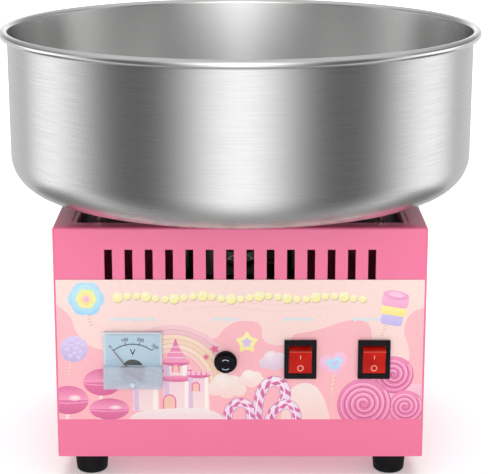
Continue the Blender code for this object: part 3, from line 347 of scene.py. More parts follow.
PINK = powder_coat()
BOWL_STEEL = brushed_steel("bowl_steel")
BRIGHT = (0.9, 0.9, 0.895, 1)
INSIDE_STEEL = brushed_steel("inside_steel", (0.2, 0.26), BRIGHT, 0.9)
BEAD_STEEL = brushed_steel("bead_steel", (0.12, 0.2), BRIGHT, 0.3)
ALUMINIUM = spun_aluminium()
CHROME = polished_metal("chrome", (0.83, 0.83, 0.85, 1), 0.07)
SATIN_STEEL = polished_metal("satin_steel", (0.93, 0.93, 0.95, 1), 0.22, 0.08)
ZINC = zinc_plate()
BRASS = polished_metal("brass", (0.75, 0.52, 0.2, 1), 0.2, 0.15)
BLACK_PAINT = painted_dark()
RUBBER = moulded("black_rubber", (0.006, 0.006, 0.007, 1), 0.68, 700, 0.00006, (0.014, 0.014, 0.015, 1),
                 Specular_IOR_Level=0.15)
BLACK_PLASTIC = moulded("black_plastic", (0.006, 0.006, 0.008, 1), 0.34, second=(0.011, 0.011, 0.014, 1),
                        Specular_IOR_Level=0.09)
PALE_PLASTIC = moulded("pale_plastic", srgb(214, 222, 232), 0.35, second=srgb(200, 210, 224))
DIAL = moulded("dial_card", srgb(172, 200, 218), 0.5, second=srgb(184, 208, 222))
DIAL_INK = moulded("dial_ink", srgb(14, 20, 34), 0.5, Specular_IOR_Level=0.1)
POINTER_PAINT = moulded("pointer_paint", srgb(120, 36, 40), 0.5, Specular_IOR_Level=0.1)
DIAL_BLACK = moulded("dial_black", srgb(16, 22, 26), 0.35, Specular_IOR_Level=0.2)
MOVEMENT = moulded("movement_grey", srgb(92, 96, 112), 0.5, 400, 0.0001, srgb(150, 150, 160))
SYMBOL_INK = moulded("symbol_ink", srgb(250, 176, 160), 0.4)
RESIN = moulded("brown_resin", (0.12, 0.05, 0.025, 1), 0.4, 500, 0.00003)
RED_LENS = red_lens()
# Lighter red for the rocker's top ridge: a painted highlight on the rounded edge, not a colour of the
# plastic.
RED_PAINTED_HIGHLIGHT = moulded("red_painted_highlight", srgb(246, 150, 130), 0.25)
CLEAR = clear_window()
FROSTED = frosted_window()
PRINT = printed_film()
CARBON = carbon()
BOARD = circuit_board()
HEATER = heat_blued_wire()
RED_WIRE = moulded("red_insulation", (0.42, 0.012, 0.01, 1), 0.38, 600, 0.00002)
GLASS = moulded("fuse_glass", (0.85, 0.9, 0.92, 1), 0.12, Alpha=0.4)
CAP_METAL = polished_metal("fuse_caps", (0.75, 0.74, 0.72, 1), 0.18, 0.1)


# ---------------------------------------------------------------- pieces


def linked(name, data):
    """A new object in the scene."""
    obj = bpy.data.objects.new(name, data)
    bpy.context.scene.collection.objects.link(obj)
    return obj


def piece(name, mesh, paints, body, slot, *stands_for):
    """A visible piece, already in place, which moves with a body."""
    mesh.name = name
    indices = [face.material_index for face in mesh.polygons]
    mesh.materials.clear()
    for paint in paints if isinstance(paints, list) else [paints]:
        mesh.materials.append(paint)
    mesh.polygons.foreach_set("material_index", indices)
    obj = linked(name, mesh)
    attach(obj, body)
    if stands_for:
        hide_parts(*stands_for)


def smoothed(mesh, angle=35):
    mesh.shade_smooth()
    mesh.set_sharp_from_angle(angle=math.radians(angle))
    return mesh


def as_mesh(bm, angle=35):
    mesh = bpy.data.meshes.new("mesh")
    bm.normal_update()
    bm.to_mesh(mesh)
    bm.free()
    return smoothed(mesh, angle)


def round_circle(count):
    """Angles evenly spaced round a circle."""
    return [2 * math.pi * i / count for i in range(count)]


def polar(middle, radius, angle):
    """The point at an angle anticlockwise from the right."""
    return middle[0] + radius * math.cos(angle), middle[1] + radius * math.sin(angle)


def clock(middle, radius, angle):
    """The point at an angle clockwise from straight up."""
    return middle[0] + radius * math.sin(angle), middle[1] + radius * math.cos(angle)


def rounded(profile, radius, closed=True, steps=3):
    """The profile with its corners rounded off."""
    points = [Vector(p) for p in profile]
    count = len(points)
    made = []
    for i, point in enumerate(points):
        if not closed and i in (0, count - 1):
            made.append(tuple(point))
            continue
        before, after = points[i - 1] - point, points[(i + 1) % count] - point
        cut = min(radius, before.length * 0.45, after.length * 0.45)
        start, end = point + before.normalized() * cut, point + after.normalized() * cut
        for k in range(steps + 1):
            t = k / steps
            made.append(tuple(start * (1 - t) ** 2 + point * (2 * t * (1 - t)) + end * t * t))
    return made


def lathe(profile, closed=True, steps=64, place=None):
    """Turns (radius, height) pairs round +Z. An open profile starts and ends on the axis."""
    bm = bmesh.new()
    place = place or Matrix()
    rings = []
    for radius, height in profile:
        angles = [0.0] if radius < 1e-6 else round_circle(steps)
        rings.append([bm.verts.new(place @ Vector((*polar((0, 0), radius, a), height))) for a in angles])
    following = rings[1:] + (rings[:1] if closed else [])
    for upper, lower in zip(rings, following):
        for i in range(steps):
            j = (i + 1) % steps
            corners = [row[k % len(row)] for row, k in ((upper, i), (upper, j), (lower, j), (lower, i))]
            corners = list(dict.fromkeys(corners))
            if len(corners) > 2:
                bm.faces.new(corners)
    bmesh.ops.recalc_face_normals(bm, faces=bm.faces)
    return as_mesh(bm)


def turned(profile, edge, steps, place=None):
    """Turns a profile that starts and ends on the axis, with its corners rounded off."""
    return lathe(rounded(profile, edge, closed=False), closed=False, steps=steps, place=place)


def ring(inner, outer, bottom, top, edge=0.4 * MM):
    return rounded([(outer, top), (outer, bottom), (inner, bottom), (inner, top)], edge)


def arc(middle, radius, start, end, count):
    """Points from one angle to another, in degrees."""
    angles = [math.radians(start + (end - start) * i / count) for i in range(count + 1)]
    return [polar(middle, radius, a) for a in angles]


def sheet_profile(path, thickness):
    """The closed profile of a bent sheet, from its middle line."""
    points = [Vector(p) for p in path]
    sides = [[], []]
    for i, point in enumerate(points):
        before = (point - points[max(i - 1, 0)]).normalized()
        after = (points[min(i + 1, len(points) - 1)] - point).normalized()
        along = (before + after).normalized()
        normal = Vector((-along.y, along.x))
        miter = thickness / 2 / max((after if i == 0 else before).dot(along), 0.5)
        sides[0].append(tuple(point + normal * miter))
        sides[1].append(tuple(point - normal * miter))
    return sides[0] + sides[1][::-1]


def add_box(bm, low, high, edge=0.0, segments=3):
    """Adds the box between two corners, with rounded edges."""
    low, high = Vector(low), Vector(high)
    place = Matrix.Translation((low + high) / 2) @ Matrix.Diagonal((*(high - low), 1))
    verts = bmesh.ops.create_cube(bm, size=1, matrix=place)["verts"]
    if edge:
        edges = list({e for v in verts for e in v.link_edges})
        bmesh.ops.bevel(bm, geom=edges, offset=edge, segments=segments, profile=0.5, affect="EDGES")


def add_cylinder(bm, radius, start, end, segments=40):
    start, end = Vector(start), Vector(end)
    axis = end - start
    turn = axis.to_track_quat("Z", "Y").to_matrix().to_4x4()
    place = Matrix.Translation((start + end) / 2) @ turn
    bmesh.ops.create_cone(bm, cap_ends=True, segments=segments, radius1=radius, radius2=radius,
                          depth=axis.length, matrix=place)


def add_block(bm, middle, half, depths, edge=0.0, segments=3):
    """Adds a box round a point (x, z), with half sizes in x and z, between two depths."""
    (x, z), (half_x, half_z), (near, far) = middle, half, depths
    add_box(bm, (x - half_x, near, z - half_z), (x + half_x, far, z + half_z), edge, segments)


def add_rod(bm, radius, middle, depths, segments=40):
    """Adds a cylinder along Y through a point (x, z), between two depths."""
    (x, z), (near, far) = middle, depths
    add_cylinder(bm, radius, (x, near, z), (x, far, z), segments)


def solid(add, *settings):
    """A new shape that holds one added solid."""
    bm = bmesh.new()
    add(bm, *settings)
    return bm


def evaluated(obj):
    """The final mesh of a working object, which is then removed."""
    bpy.context.view_layer.update()
    made = bpy.data.meshes.new_from_object(obj.evaluated_get(bpy.context.evaluated_depsgraph_get()))
    bpy.data.objects.remove(obj)
    return made


def modified(mesh, *modifiers):
    """The mesh after modifiers, each (type, settings)."""
    obj = linked("work", mesh)
    for kind, settings in modifiers:
        modifier = obj.modifiers.new(kind, kind)
        for key, value in settings.items():
            setattr(modifier, key, value)
    return evaluated(obj)


def combined(mesh, bm, operation="DIFFERENCE"):
    """The mesh with the shapes in bm cut from it or joined to it."""
    other = linked("other", as_mesh(bm))
    made = modified(mesh, ("BOOLEAN", {"operation": operation, "object": other, "solver": "EXACT"}))
    bpy.data.objects.remove(other)
    return smoothed(made)


def machined(mesh, *steps):
    """The mesh after several (shapes, operation) steps."""
    for bm, operation in steps:
        mesh = combined(mesh, bm, operation)
    return mesh


def open_side(bm, direction):
    """Takes away the faces that look in a direction."""
    bm.normal_update()
    facing = [f for f in bm.faces if f.normal.dot(Vector(direction)) > 0.9]
    bmesh.ops.delete(bm, geom=facing, context="FACES")


def bent_sheet(bm, bend, segments, thickness):
    """Sheet of a thickness that follows the faces of bm, with its bends rounded."""
    bevel = {"width": bend, "segments": segments, "limit_method": "ANGLE", "angle_limit": math.radians(60)}
    solidify = {"thickness": thickness, "offset": -1, "use_even_offset": True}
    return modified(as_mesh(bm), ("BEVEL", bevel), ("SOLIDIFY", solidify))


def box_mesh(*settings):
    return as_mesh(solid(add_box, *settings))


def block_mesh(*settings):
    return as_mesh(solid(add_block, *settings))


def four_corners(x, y):
    sides = {"left": -x, "right": x}
    ends = {"front": -y, "rear": y}
    return {f"{end}_{side}": (sides[side], ends[end]) for end in ends for side in sides}


# ---------------------------------------------------------------- body


def split(bm, normal, planes):
    for point, across in planes:
        faces = [f for f in bm.faces if f.normal.dot(normal) > 0.9]
        touched = {e for f in faces for e in f.edges} | {v for f in faces for v in f.verts}
        bmesh.ops.bisect_plane(bm, geom=faces + list(touched), plane_co=point, plane_no=across)
        bm.normal_update()


def middle_face(bm, normal, point):
    faces = [f for f in bm.faces if f.normal.dot(normal) > 0.9]
    return min(faces, key=lambda f: (f.calc_center_median() - Vector(point)).length)


def slot_boxes(bm, count, low, high, step):
    for i in range(count):
        shift = Vector(step) * (i - (count - 1) / 2)
        add_box(bm, Vector(low) + shift, Vector(high) + shift)


def slot_row(bm, y, drop=0.0):
    """The long row of upright slots, through the front or the back."""
    slot_boxes(bm, FRONT_SLOTS, (-SLOT_WIDTH / 2, y - 5 * MM, SLOT_BOTTOM - drop),
               (SLOT_WIDTH / 2, y + 5 * MM, SLOT_TOP - drop), (SLOT_PITCH, 0, 0))


def front_cutouts(bm):
    depths = (FRONT - 5 * MM, FRONT + 5 * MM)
    add_rod(bm, METER_BORE, METER_PLACE, depths)
    add_rod(bm, FUSE_BORE, FUSE_PLACE, depths)
    for x in SWITCH_X.values():
        add_block(bm, (x, CONTROL_Z), SWITCH_HOLE, depths)


def shell_sheet():
    """Front, sides and top, with a lip folded down round the opening and flanges at the back."""
    bm = solid(add_box, (-HALF_WIDTH, FRONT, BODY_BOTTOM), (HALF_WIDTH, SHELL_BACK, BODY_TOP))
    open_side(bm, (0, 0, -1))
    up, back = Vector((0, 0, 1)), Vector((0, 1, 0))
    across = [((sign * OPENING_HALF_X, 0, 0), (1, 0, 0)) for sign in (-1, 1)]
    split(bm, up, across + [((0, sign * OPENING_HALF_Y, 0), (0, 1, 0)) for sign in (-1, 1)])
    opening = middle_face(bm, up, (0, 0, BODY_TOP))
    folded = bmesh.ops.extrude_face_region(bm, geom=[opening])["geom"]
    lip = [v for v in folded if isinstance(v, bmesh.types.BMVert)]
    bmesh.ops.translate(bm, verts=lip, vec=(0, 0, -LIP_DEPTH))
    lids = [f for f in folded if isinstance(f, bmesh.types.BMFace)]
    bmesh.ops.delete(bm, geom=[opening, *lids], context="FACES")
    across = [((sign * (HALF_WIDTH - REAR_FLANGE), 0, 0), (1, 0, 0)) for sign in (-1, 1)]
    split(bm, back, across + [((0, 0, BODY_TOP - REAR_FLANGE), (0, 0, 1))])
    doorway = middle_face(bm, back, (0, SHELL_BACK, (BODY_BOTTOM + BODY_TOP) / 2))
    bmesh.ops.delete(bm, geom=[doorway], context="FACES")
    return bent_sheet(bm, BEND_RADIUS, 5, SHEET)


def housing_shell():
    holes = bmesh.new()
    slot_row(holes, FRONT)
    front_cutouts(holes)
    for sign in (-1, 1):
        inner, outer = sorted((sign * (HALF_WIDTH - 5 * MM), sign * (HALF_WIDTH + 5 * MM)))
        slot_boxes(holes, SIDE_SLOTS, (inner, -SLOT_WIDTH / 2, SLOT_BOTTOM),
                   (outer, SLOT_WIDTH / 2, SLOT_TOP), (0, SLOT_PITCH, 0))
        seam = sign * (OPENING_HALF_X + 4.5 * MM)
        add_box(holes, (seam - 0.6 * MM, -OPENING_HALF_Y, BODY_TOP - 0.9 * MM),
                (seam + 0.6 * MM, OPENING_HALF_Y, BODY_TOP + 5 * MM))
    piece("shell", combined(shell_sheet(), holes), PINK, "machine", "pink_paint", "housing_shell")


def rear_panel():
    mesh = box_mesh((-HALF_WIDTH, BACK - SHEET, BODY_BOTTOM), (HALF_WIDTH, BACK, BODY_TOP), 0.35 * MM, 2)
    holes = bmesh.new()
    slot_row(holes, BACK, REAR_SLOT_DROP)
    add_block(holes, INLET_PLACE, INLET_HOLE, (BACK - 5 * MM, BACK + 5 * MM))
    piece("rear_cover", combined(mesh, holes), PINK, "machine", "pink_paint", "rear_panel")


def rear_screws():
    profile = [(0, 2.6 * MM), *arc((0, -2.2 * MM), 4.8 * MM, 80, 36, 8), (3.8 * MM, GAP), (1.9 * MM, GAP),
               (1.9 * MM, -9 * MM), (0, -9 * MM)]
    for side, x in (("left", -SCREW_X), ("right", SCREW_X)):
        place = Matrix.Translation((x, BACK, SCREW_Z)) @ FACING_BACK
        screw = lathe(profile, closed=False, steps=40, place=place)
        cross = bmesh.new()
        for half in ((2 * MM, 0.4 * MM), (0.4 * MM, 2 * MM)):
            add_block(cross, (x, SCREW_Z), half, (BACK + 1.5 * MM, BACK + 3.7 * MM))
        piece(f"back_screw_{side}", combined(screw, cross), CHROME, "machine", "chrome", f"rear_screw_{side}")


def base_plate():
    half_x = HALF_WIDTH - SHEET - 2 * GAP
    bm = solid(add_box, (-half_x, FRONT + SHEET + 2 * GAP, BODY_BOTTOM + GAP),
               (half_x, SHELL_BACK - SHEET - 2 * GAP, BODY_BOTTOM + 14 * MM))
    open_side(bm, (0, 0, 1))
    mesh = smoothed(bent_sheet(bm, BEND_RADIUS, 4, 1.5 * MM))
    piece("base_tray", mesh, PINK, "machine", "pink_paint", "base_plate")


def feet():
    """Turned feet with a stud up into the body and a small hollow below."""
    profile = [(0, 36 * MM), (3 * MM, 36 * MM), (3 * MM, BODY_BOTTOM), (18 * MM, BODY_BOTTOM),
               (18.2 * MM, 23 * MM), (18 * MM, 20 * MM), *arc((12.2 * MM, 4.5 * MM), 4.5 * MM, 0, -90, 8),
               (4.5 * MM, 0), (4 * MM, 0.8 * MM), (0, 0.8 * MM)]
    for corner, (x, y) in four_corners(FOOT_X, FOOT_Y).items():
        mesh = lathe(profile, closed=False, place=Matrix.Translation((x, y, 0)))
        piece(f"rubber_foot_{corner}", mesh, RUBBER, "machine", "black_rubber", f"foot_{corner}")


def deck_plate():
    low, high = (-DECK_HALF_X, -DECK_HALF_Y, DECK_BOTTOM), (DECK_HALF_X, DECK_HALF_Y, DECK_TOP)
    mesh = box_mesh(low, high, 0.3 * MM, 2)
    hole = solid(add_cylinder, DECK_BORE, (0, 0, DECK_BOTTOM - 5 * MM), (0, 0, DECK_TOP + 5 * MM), 96)
    piece("deck", combined(mesh, hole), BLACK_PAINT, "machine", "dark_steel", "deck_plate")


# ---------------------------------------------------------------- bowl, posts and clips


def bowl():
    half = BOWL_SHEET / 2
    floor = BOWL_BOTTOM + half
    rim = (BOWL_RADIUS - half - BEAD_RADIUS, BOWL_TOP - half - BEAD_RADIUS)
    wall = rim[0] - BEAD_RADIUS - 0.5 * MM
    path = [(BOWL_HOLE, floor + LIP_HEIGHT)]
    path += arc((BOWL_HOLE + LIP_FILLET, floor + LIP_FILLET), LIP_FILLET, 180, 270, 8)
    path += arc((wall - BOWL_CORNER, floor + BOWL_CORNER), BOWL_CORNER, 270, 360, 20)
    path += arc(rim, BEAD_RADIUS, 180, -100, 26)
    mesh = lathe(sheet_profile(path, BOWL_SHEET), steps=240)
    bead = rim[1] - BEAD_RADIUS
    for face in mesh.polygons:
        inward = face.normal.x * face.center.x + face.normal.y * face.center.y < 0
        if face.center.z > bead:
            face.material_index = 1
        elif inward or face.normal.z > 0.5:
            face.material_index = 2
    piece("catch_bowl", mesh, [BOWL_STEEL, BEAD_STEEL, INSIDE_STEEL], "bowl", "bowl_steel", "bowl")


def bowl_posts():
    bottom, top = DECK_TOP + GAP, BOWL_BOTTOM - GAP
    end = DECK_BOTTOM - 8 * MM
    stem = rounded([(POST_RADIUS, bottom + 3 * MM), (7 * MM, bottom + 3 * MM), (7 * MM, bottom),
                    (2.5 * MM, bottom), (2.5 * MM, end), (0, end)], 0.4 * MM, closed=False)
    profile = [(0, top), *arc((0, top - POST_RADIUS), POST_RADIUS, 84, 0, 10), *stem]
    for corner, (x, y) in four_corners(POST_X, POST_Y).items():
        mesh = lathe(profile, closed=False, steps=48, place=Matrix.Translation((x, y, 0)))
        piece(f"post_{corner}", mesh, SATIN_STEEL, "machine", "chrome", f"bowl_post_{corner}")


def bowl_clips():
    """Knobs with a flat arm, round the head."""
    low = BOWL_BOTTOM + 13.6 * MM
    high = low + 2 * MM
    foot, end = DECK_TOP + GAP, DECK_BOTTOM - 6 * MM
    profile = [(0, high + 6 * MM), (5.5 * MM, high + 6 * MM), (5.5 * MM, low), (4 * MM, low),
               (4 * MM, foot + 3 * MM), (6.5 * MM, foot + 3 * MM), (6.5 * MM, foot), (4 * MM, foot),
               (4 * MM, end), (0, end)]
    for i in range(4):
        angle = math.radians(90 * i)
        place = Matrix.Translation((*polar((0, 0), CLIP_PLACE, angle), 0))
        arm = solid(add_box, (-4.9 * MM, -2 * MM, low + 0.1 * MM), (4.9 * MM, 20 * MM, high), 0.5 * MM, 2)
        mesh = combined(turned(profile, 0.7 * MM, 40), arm, "UNION")
        mesh.transform(place @ Matrix.Rotation(angle, 4, "Z"))
        piece(f"swivel_clip_{i + 1}", mesh, CHROME, f"clip_{i + 1}", "chrome", f"bowl_clip_{i + 1}")


# ---------------------------------------------------------------- floss head


def cap_height(radius, top_surface):
    share = (HEAD_RADIUS - radius) / (HEAD_RADIUS - FEED_RADIUS)
    return BAND_TOP + GAP + 11 * MM * share + (1.5 * MM if top_surface else 0)


def stud_places():
    return [polar((0, 0), STUD_RADIUS, a + math.pi / 2) for a in round_circle(3)]


def stud_top():
    return cap_height(STUD_RADIUS, True) + 4 * MM


def head_dish():
    hub = 12 * MM
    base = lathe(rounded([
        (BAND_RADIUS - 2.6 * MM, BAND_BOTTOM - GAP), (HEAD_RADIUS, BAND_BOTTOM - GAP),
        (HEAD_RADIUS, HEAD_FLOOR + 2 * MM), (HEAD_RADIUS - 6 * MM, HEAD_FLOOR - 2 * MM),
        (hub + 2 * MM, HEAD_FLOOR - 2 * MM), (hub, HEAD_FLOOR - 12 * MM), (SHAFT_BORE, HEAD_FLOOR - 12 * MM),
        (SHAFT_BORE, HEAD_FLOOR + 3 * MM), (hub, HEAD_FLOOR + 3 * MM), (hub + 2 * MM, HEAD_FLOOR),
        (BAND_RADIUS - 5 * MM, HEAD_FLOOR)], 0.6 * MM), steps=120)
    studs = bmesh.new()
    for x, y in stud_places():
        add_cylinder(studs, 2 * MM, (x, y, HEAD_FLOOR - 1 * MM), (x, y, stud_top()), 24)
    piece("floss_dish", combined(base, studs, "UNION"), ALUMINIUM, "spinner", "cast_aluminium", "head_base")


def heater_coil():
    """A wire wound in small loops that follow one large circle."""
    heater_z = HEAD_FLOOR + 12 * MM
    turns, strands = 44, 12
    coil = bmesh.new()
    count = turns * strands
    rings = []
    for i in range(count):
        around = 2 * math.pi * i / count
        twist = 2 * math.pi * i / strands
        outward = Vector((math.cos(around), math.sin(around), 0))
        lift = Vector((0, 0, 1))
        middle = (outward * (COIL_RADIUS + COIL_LOOP * math.cos(twist))
                  + lift * (heater_z + COIL_LOOP * math.sin(twist)))
        normal = outward * math.cos(twist) + lift * math.sin(twist)
        side = Vector((-math.sin(around), math.cos(around), 0))
        rings.append([coil.verts.new(middle + (normal * math.cos(a) + side * math.sin(a)) * COIL_WIRE)
                      for a in round_circle(6)])
    for here, there in zip(rings, rings[1:] + rings[:1]):
        for k in range(6):
            coil.faces.new((here[k], here[(k + 1) % 6], there[(k + 1) % 6], there[k]))
    bmesh.ops.recalc_face_normals(coil, faces=coil.faces)
    piece("heater_coil", as_mesh(coil, 80), HEATER, "spinner", "dark_steel", "heater_ring")


def head_band():
    band = lathe(ring(BAND_RADIUS - 1.2 * MM, BAND_RADIUS, BAND_BOTTOM, BAND_TOP, 0.2 * MM), steps=144)
    slots = bmesh.new()
    middle = Matrix.Translation((BAND_RADIUS, 0, (BAND_BOTTOM + BAND_TOP) / 2))
    size = Matrix.Diagonal((10 * MM, 1.6 * MM, 14 * MM, 1))
    for i in range(48):
        turn = Matrix.Rotation(2 * math.pi * (i + 0.5) / 48, 4, "Z")
        bmesh.ops.create_cube(slots, size=1, matrix=turn @ middle @ size)
    piece("slotted_band", combined(band, slots), ALUMINIUM, "spinner", "cast_aluminium", "head_band")


def head_cap():
    top = cap_height(FEED_RADIUS, True)
    shoulder, skirt = FEED_RADIUS + 3 * MM, HEAD_RADIUS - 1.5 * MM
    cap = lathe(rounded([
        (FEED_RADIUS, top + 3 * MM), (FEED_RADIUS + 1.5 * MM, top + 2.6 * MM),
        (shoulder, cap_height(shoulder, True)), (HEAD_RADIUS, cap_height(HEAD_RADIUS, True)),
        (HEAD_RADIUS, BAND_TOP - 3 * MM), (skirt, BAND_TOP - 3 * MM), (skirt, BAND_TOP + GAP),
        (FEED_RADIUS, cap_height(FEED_RADIUS, False))], 0.7 * MM), steps=120)
    holes = bmesh.new()
    for x, y in stud_places():
        add_cylinder(holes, 2.3 * MM, (x, y, BAND_TOP - 5 * MM), (x, y, stud_top() + 5 * MM), 24)
    piece("floss_cap", combined(cap, holes), ALUMINIUM, "spinner", "cast_aluminium", "head_cap")


def nut_and_spindle():
    bottom = HEAD_FLOOR + 3 * MM + GAP
    nut = solid(add_cylinder, 9.5 * MM, (0, 0, bottom), (0, 0, bottom + 8 * MM), 6)
    bmesh.ops.bevel(nut, geom=list(nut.edges), offset=0.5 * MM, segments=2, profile=0.5, affect="EDGES")
    thread = solid(add_cylinder, SHAFT_BORE, (0, 0, bottom - 5 * MM), (0, 0, bottom + 15 * MM), 48)
    piece("retaining_nut", combined(as_mesh(nut), thread), CHROME, "spinner", "chrome", "head_nut")
    radius = SHAFT_BORE - GAP
    shaft = [(0, SHAFT_TOP), (radius, SHAFT_TOP), (radius, SHAFT_BOTTOM), (0, SHAFT_BOTTOM)]
    piece("spindle", turned(shaft, 1 * MM, 48), CHROME, "spinner", "chrome", "drive_shaft")


# ---------------------------------------------------------------- voltmeter


def add_figures(bm, text, size, middle, turn=0.0):
    """Adds figures to the dial, as thin raised ink."""
    curve = bpy.data.curves.new("figures", "FONT")
    curve.body, curve.size = text, size
    curve.extrude, curve.offset = 0.02 * MM, 0.015 * size
    curve.align_x, curve.align_y = "CENTER", "CENTER"
    curve.resolution_u = 3
    mesh = evaluated(linked("figures", curve))
    place = Matrix.Translation((middle[0], INK_FACE, middle[1]))
    mesh.transform(place @ Matrix.Rotation(turn, 4, "Y") @ FACING_FRONT)
    bm.from_mesh(mesh)
    bpy.data.meshes.remove(mesh)


def on_dial(angle, radius):
    """A point of the dial, at an angle clockwise from straight up and a distance from the pivot."""
    return clock((METER_X, PIVOT_Z), radius, angle)


def add_strip(bm, points, half_width, y, depth=0.02 * MM):
    """Adds a flat printed line through points of the front plane, each (x, z)."""
    sides = []
    for i, point in enumerate(points):
        before, after = Vector(points[max(i - 1, 0)]), Vector(points[min(i + 1, len(points) - 1)])
        along = (after - before).normalized()
        normal = Vector((-along.y, along.x)) * half_width
        sides.append([Vector(point) + normal, Vector(point) - normal])
    rings = []
    for left, right in sides:
        rings.append([bm.verts.new((p.x, y + shift, p.y)) for p, shift in
                      ((left, 0), (right, 0), (right, -depth), (left, -depth))])
    for here, there in zip(rings, rings[1:]):
        for k in range(4):
            bm.faces.new((here[k], here[(k + 1) % 4], there[(k + 1) % 4], there[k]))
    bm.faces.new(rings[0])
    bm.faces.new(rings[-1][::-1])


def meter_case():
    back = CONTROL_SEAT + 30 * MM
    case = block_mesh(METER_PLACE, METER_HALF, (METER_FRAME, CONTROL_SEAT), 0.8 * MM)
    rear = solid(add_rod, 25 * MM, METER_PLACE, (CONTROL_SEAT - 1 * MM, back), 64)
    studs = bmesh.new()
    for sign in (-1, 1):
        add_rod(studs, 2 * MM, (METER_X + sign * 11 * MM, CONTROL_Z), (back - 1 * MM, back + 12 * MM), 24)
    case = machined(case, (rear, "UNION"), (studs, "UNION"))
    piece("meter_case", case, PALE_PLASTIC, "machine", "pale_plastic", "voltmeter_case")


def meter_dial():
    edge = METER_WALL + 1 * MM
    half = [size - edge for size in METER_HALF]
    card = block_mesh(METER_PLACE, half, (DIAL_FACE, DIAL_FACE + 0.8 * MM), 0.2 * MM, 1)
    piece("dial_card", card, DIAL, "machine", "pale_plastic", "voltmeter_dial")


def meter_scale():
    ink = bmesh.new()
    sweep = [NEEDLE_REST * (i / 24 - 1) for i in range(49)]
    add_strip(ink, [on_dial(a, SCALE_RADIUS) for a in sweep], 0.42 * MM, INK_FACE)
    for i in range(31):
        angle = NEEDLE_REST * (i / 15 - 1)
        length = 3.2 * MM if i % 10 == 0 else 2.2 * MM if i % 5 == 0 else 1.2 * MM
        width = 0.42 * MM if i % 10 == 0 else 0.24 * MM
        add_strip(ink, [on_dial(angle, SCALE_RADIUS), on_dial(angle, SCALE_RADIUS + length)], width, INK_FACE)
    for i in range(4):
        angle = NEEDLE_REST * (2 * i / 3 - 1)
        add_figures(ink, str(100 * i), 5.2 * MM, on_dial(angle, SCALE_RADIUS + 5.6 * MM), angle)
    add_figures(ink, "V", 9.4 * MM, (METER_X, CONTROL_Z + 8.5 * MM))
    piece("scale_ink", as_mesh(ink), DIAL_INK, "machine", "black_plastic")


def movement_window():
    """The dark half disc of the dial, over the movement."""
    window = bmesh.new()
    end, middle = math.radians(-62), (METER_X, CONTROL_Z - 11 * MM)
    rim = [clock(middle, 11.4 * MM, end * (1 - i / 12)) for i in range(25)]
    add_strip(window, rim, 0.5 * MM, INK_FACE)
    window.faces.new([window.verts.new((x, INK_FACE - 0.005 * MM, z)) for x, z in rim])
    bmesh.ops.recalc_face_normals(window, faces=window.faces)
    piece("movement_window", as_mesh(window), DIAL_BLACK, "machine", "black_plastic")


def meter_movement():
    front, back = DIAL_FACE - 1 * MM, DIAL_FACE - GAP / 10
    body = (METER_X, CONTROL_Z - 13.5 * MM)
    movement = solid(add_block, body, (13 * MM, 6.5 * MM), (front, back), 0.4 * MM, 2)
    for sign in (-1, 1):
        add_block(movement, (METER_X + sign * 7 * MM, CONTROL_Z - 22.05 * MM), (2 * MM, 1.95 * MM),
                  (front - 0.2 * MM, back), 0.3 * MM, 2)
    piece("movement_block", as_mesh(movement), MOVEMENT, "machine", "black_plastic")


def meter_cover():
    """A moulded cover, clear above and ribbed below."""
    bm = solid(add_block, METER_PLACE, METER_HALF, (METER_FRONT, METER_FRAME - GAP))
    open_side(bm, (0, 1, 0))
    split_z = CONTROL_Z - 5.5 * MM
    geometry = bm.verts[:] + bm.edges[:] + bm.faces[:]
    bmesh.ops.bisect_plane(bm, geom=geometry, plane_co=(0, 0, split_z), plane_no=(0, 0, 1))
    hole = solid(add_rod, 2.9 * MM, (METER_X, ZERO_SCREW_Z), (METER_FRONT - 5 * MM, METER_FRONT + 5 * MM))
    cover = combined(bent_sheet(bm, 1 * MM, 4, METER_WALL), hole)
    for face in cover.polygons:
        face.material_index = 1 if face.center.z < split_z else 0
    piece("meter_cover", cover, [CLEAR, FROSTED], "machine", "clear_plastic", "voltmeter_cover")


def zero_screw():
    place = Matrix.Translation((METER_X, METER_FRONT, ZERO_SCREW_Z)) @ FACING_FRONT
    profile = [(0, 0.8 * MM), (2.6 * MM, 0.8 * MM), (2.6 * MM, -2.2 * MM), (0, -2.2 * MM)]
    depths = (METER_FRONT - 2 * MM, METER_FRONT - 0.1 * MM)
    slit = solid(add_block, (METER_X, ZERO_SCREW_Z), (4 * MM, 0.4 * MM), depths)
    screw = combined(turned(profile, 0.4 * MM, 40, place), slit)
    piece("zero_screw_head", screw, PALE_PLASTIC, "zero_adjuster", "pale_plastic", "zero_screw")


def pointer():
    y = DIAL_FACE - 1.8 * MM
    bm = bmesh.new()
    blade = [on_dial(-NEEDLE_REST, radius) for radius in (2 * MM, 32.4 * MM)]
    add_strip(bm, blade, 0.4 * MM, y + 0.25 * MM, 0.5 * MM)
    add_rod(bm, 3.2 * MM, (METER_X, PIVOT_Z), (y + 0.3 * MM, y - 0.3 * MM))
    piece("pointer", as_mesh(bm), POINTER_PAINT, "needle", "black_plastic", "voltmeter_needle")


# ---------------------------------------------------------------- fuse holder and switches


def fuse_axis():
    """Puts +Z on the fuse's axis, towards the front, from the panel."""
    return Matrix.Translation((FUSE_PLACE[0], CONTROL_SEAT, FUSE_PLACE[1])) @ FACING_FRONT


def fuse_socket():
    mesh = lathe(rounded([
        (FUSE_TUBE, FUSE_FLANGE), (12.1 * MM, FUSE_FLANGE), (12.1 * MM, 0), (8 * MM, 0), (8 * MM, -38 * MM),
        (3 * MM, -38 * MM), (3 * MM, -44 * MM), (1.4 * MM, -44 * MM), (1.4 * MM, -36 * MM),
        (FUSE_TUBE, -36 * MM)], 0.7 * MM), steps=80, place=fuse_axis())
    piece("fuse_socket", mesh, BLACK_PLASTIC, "machine", "black_plastic", "fuse_holder")


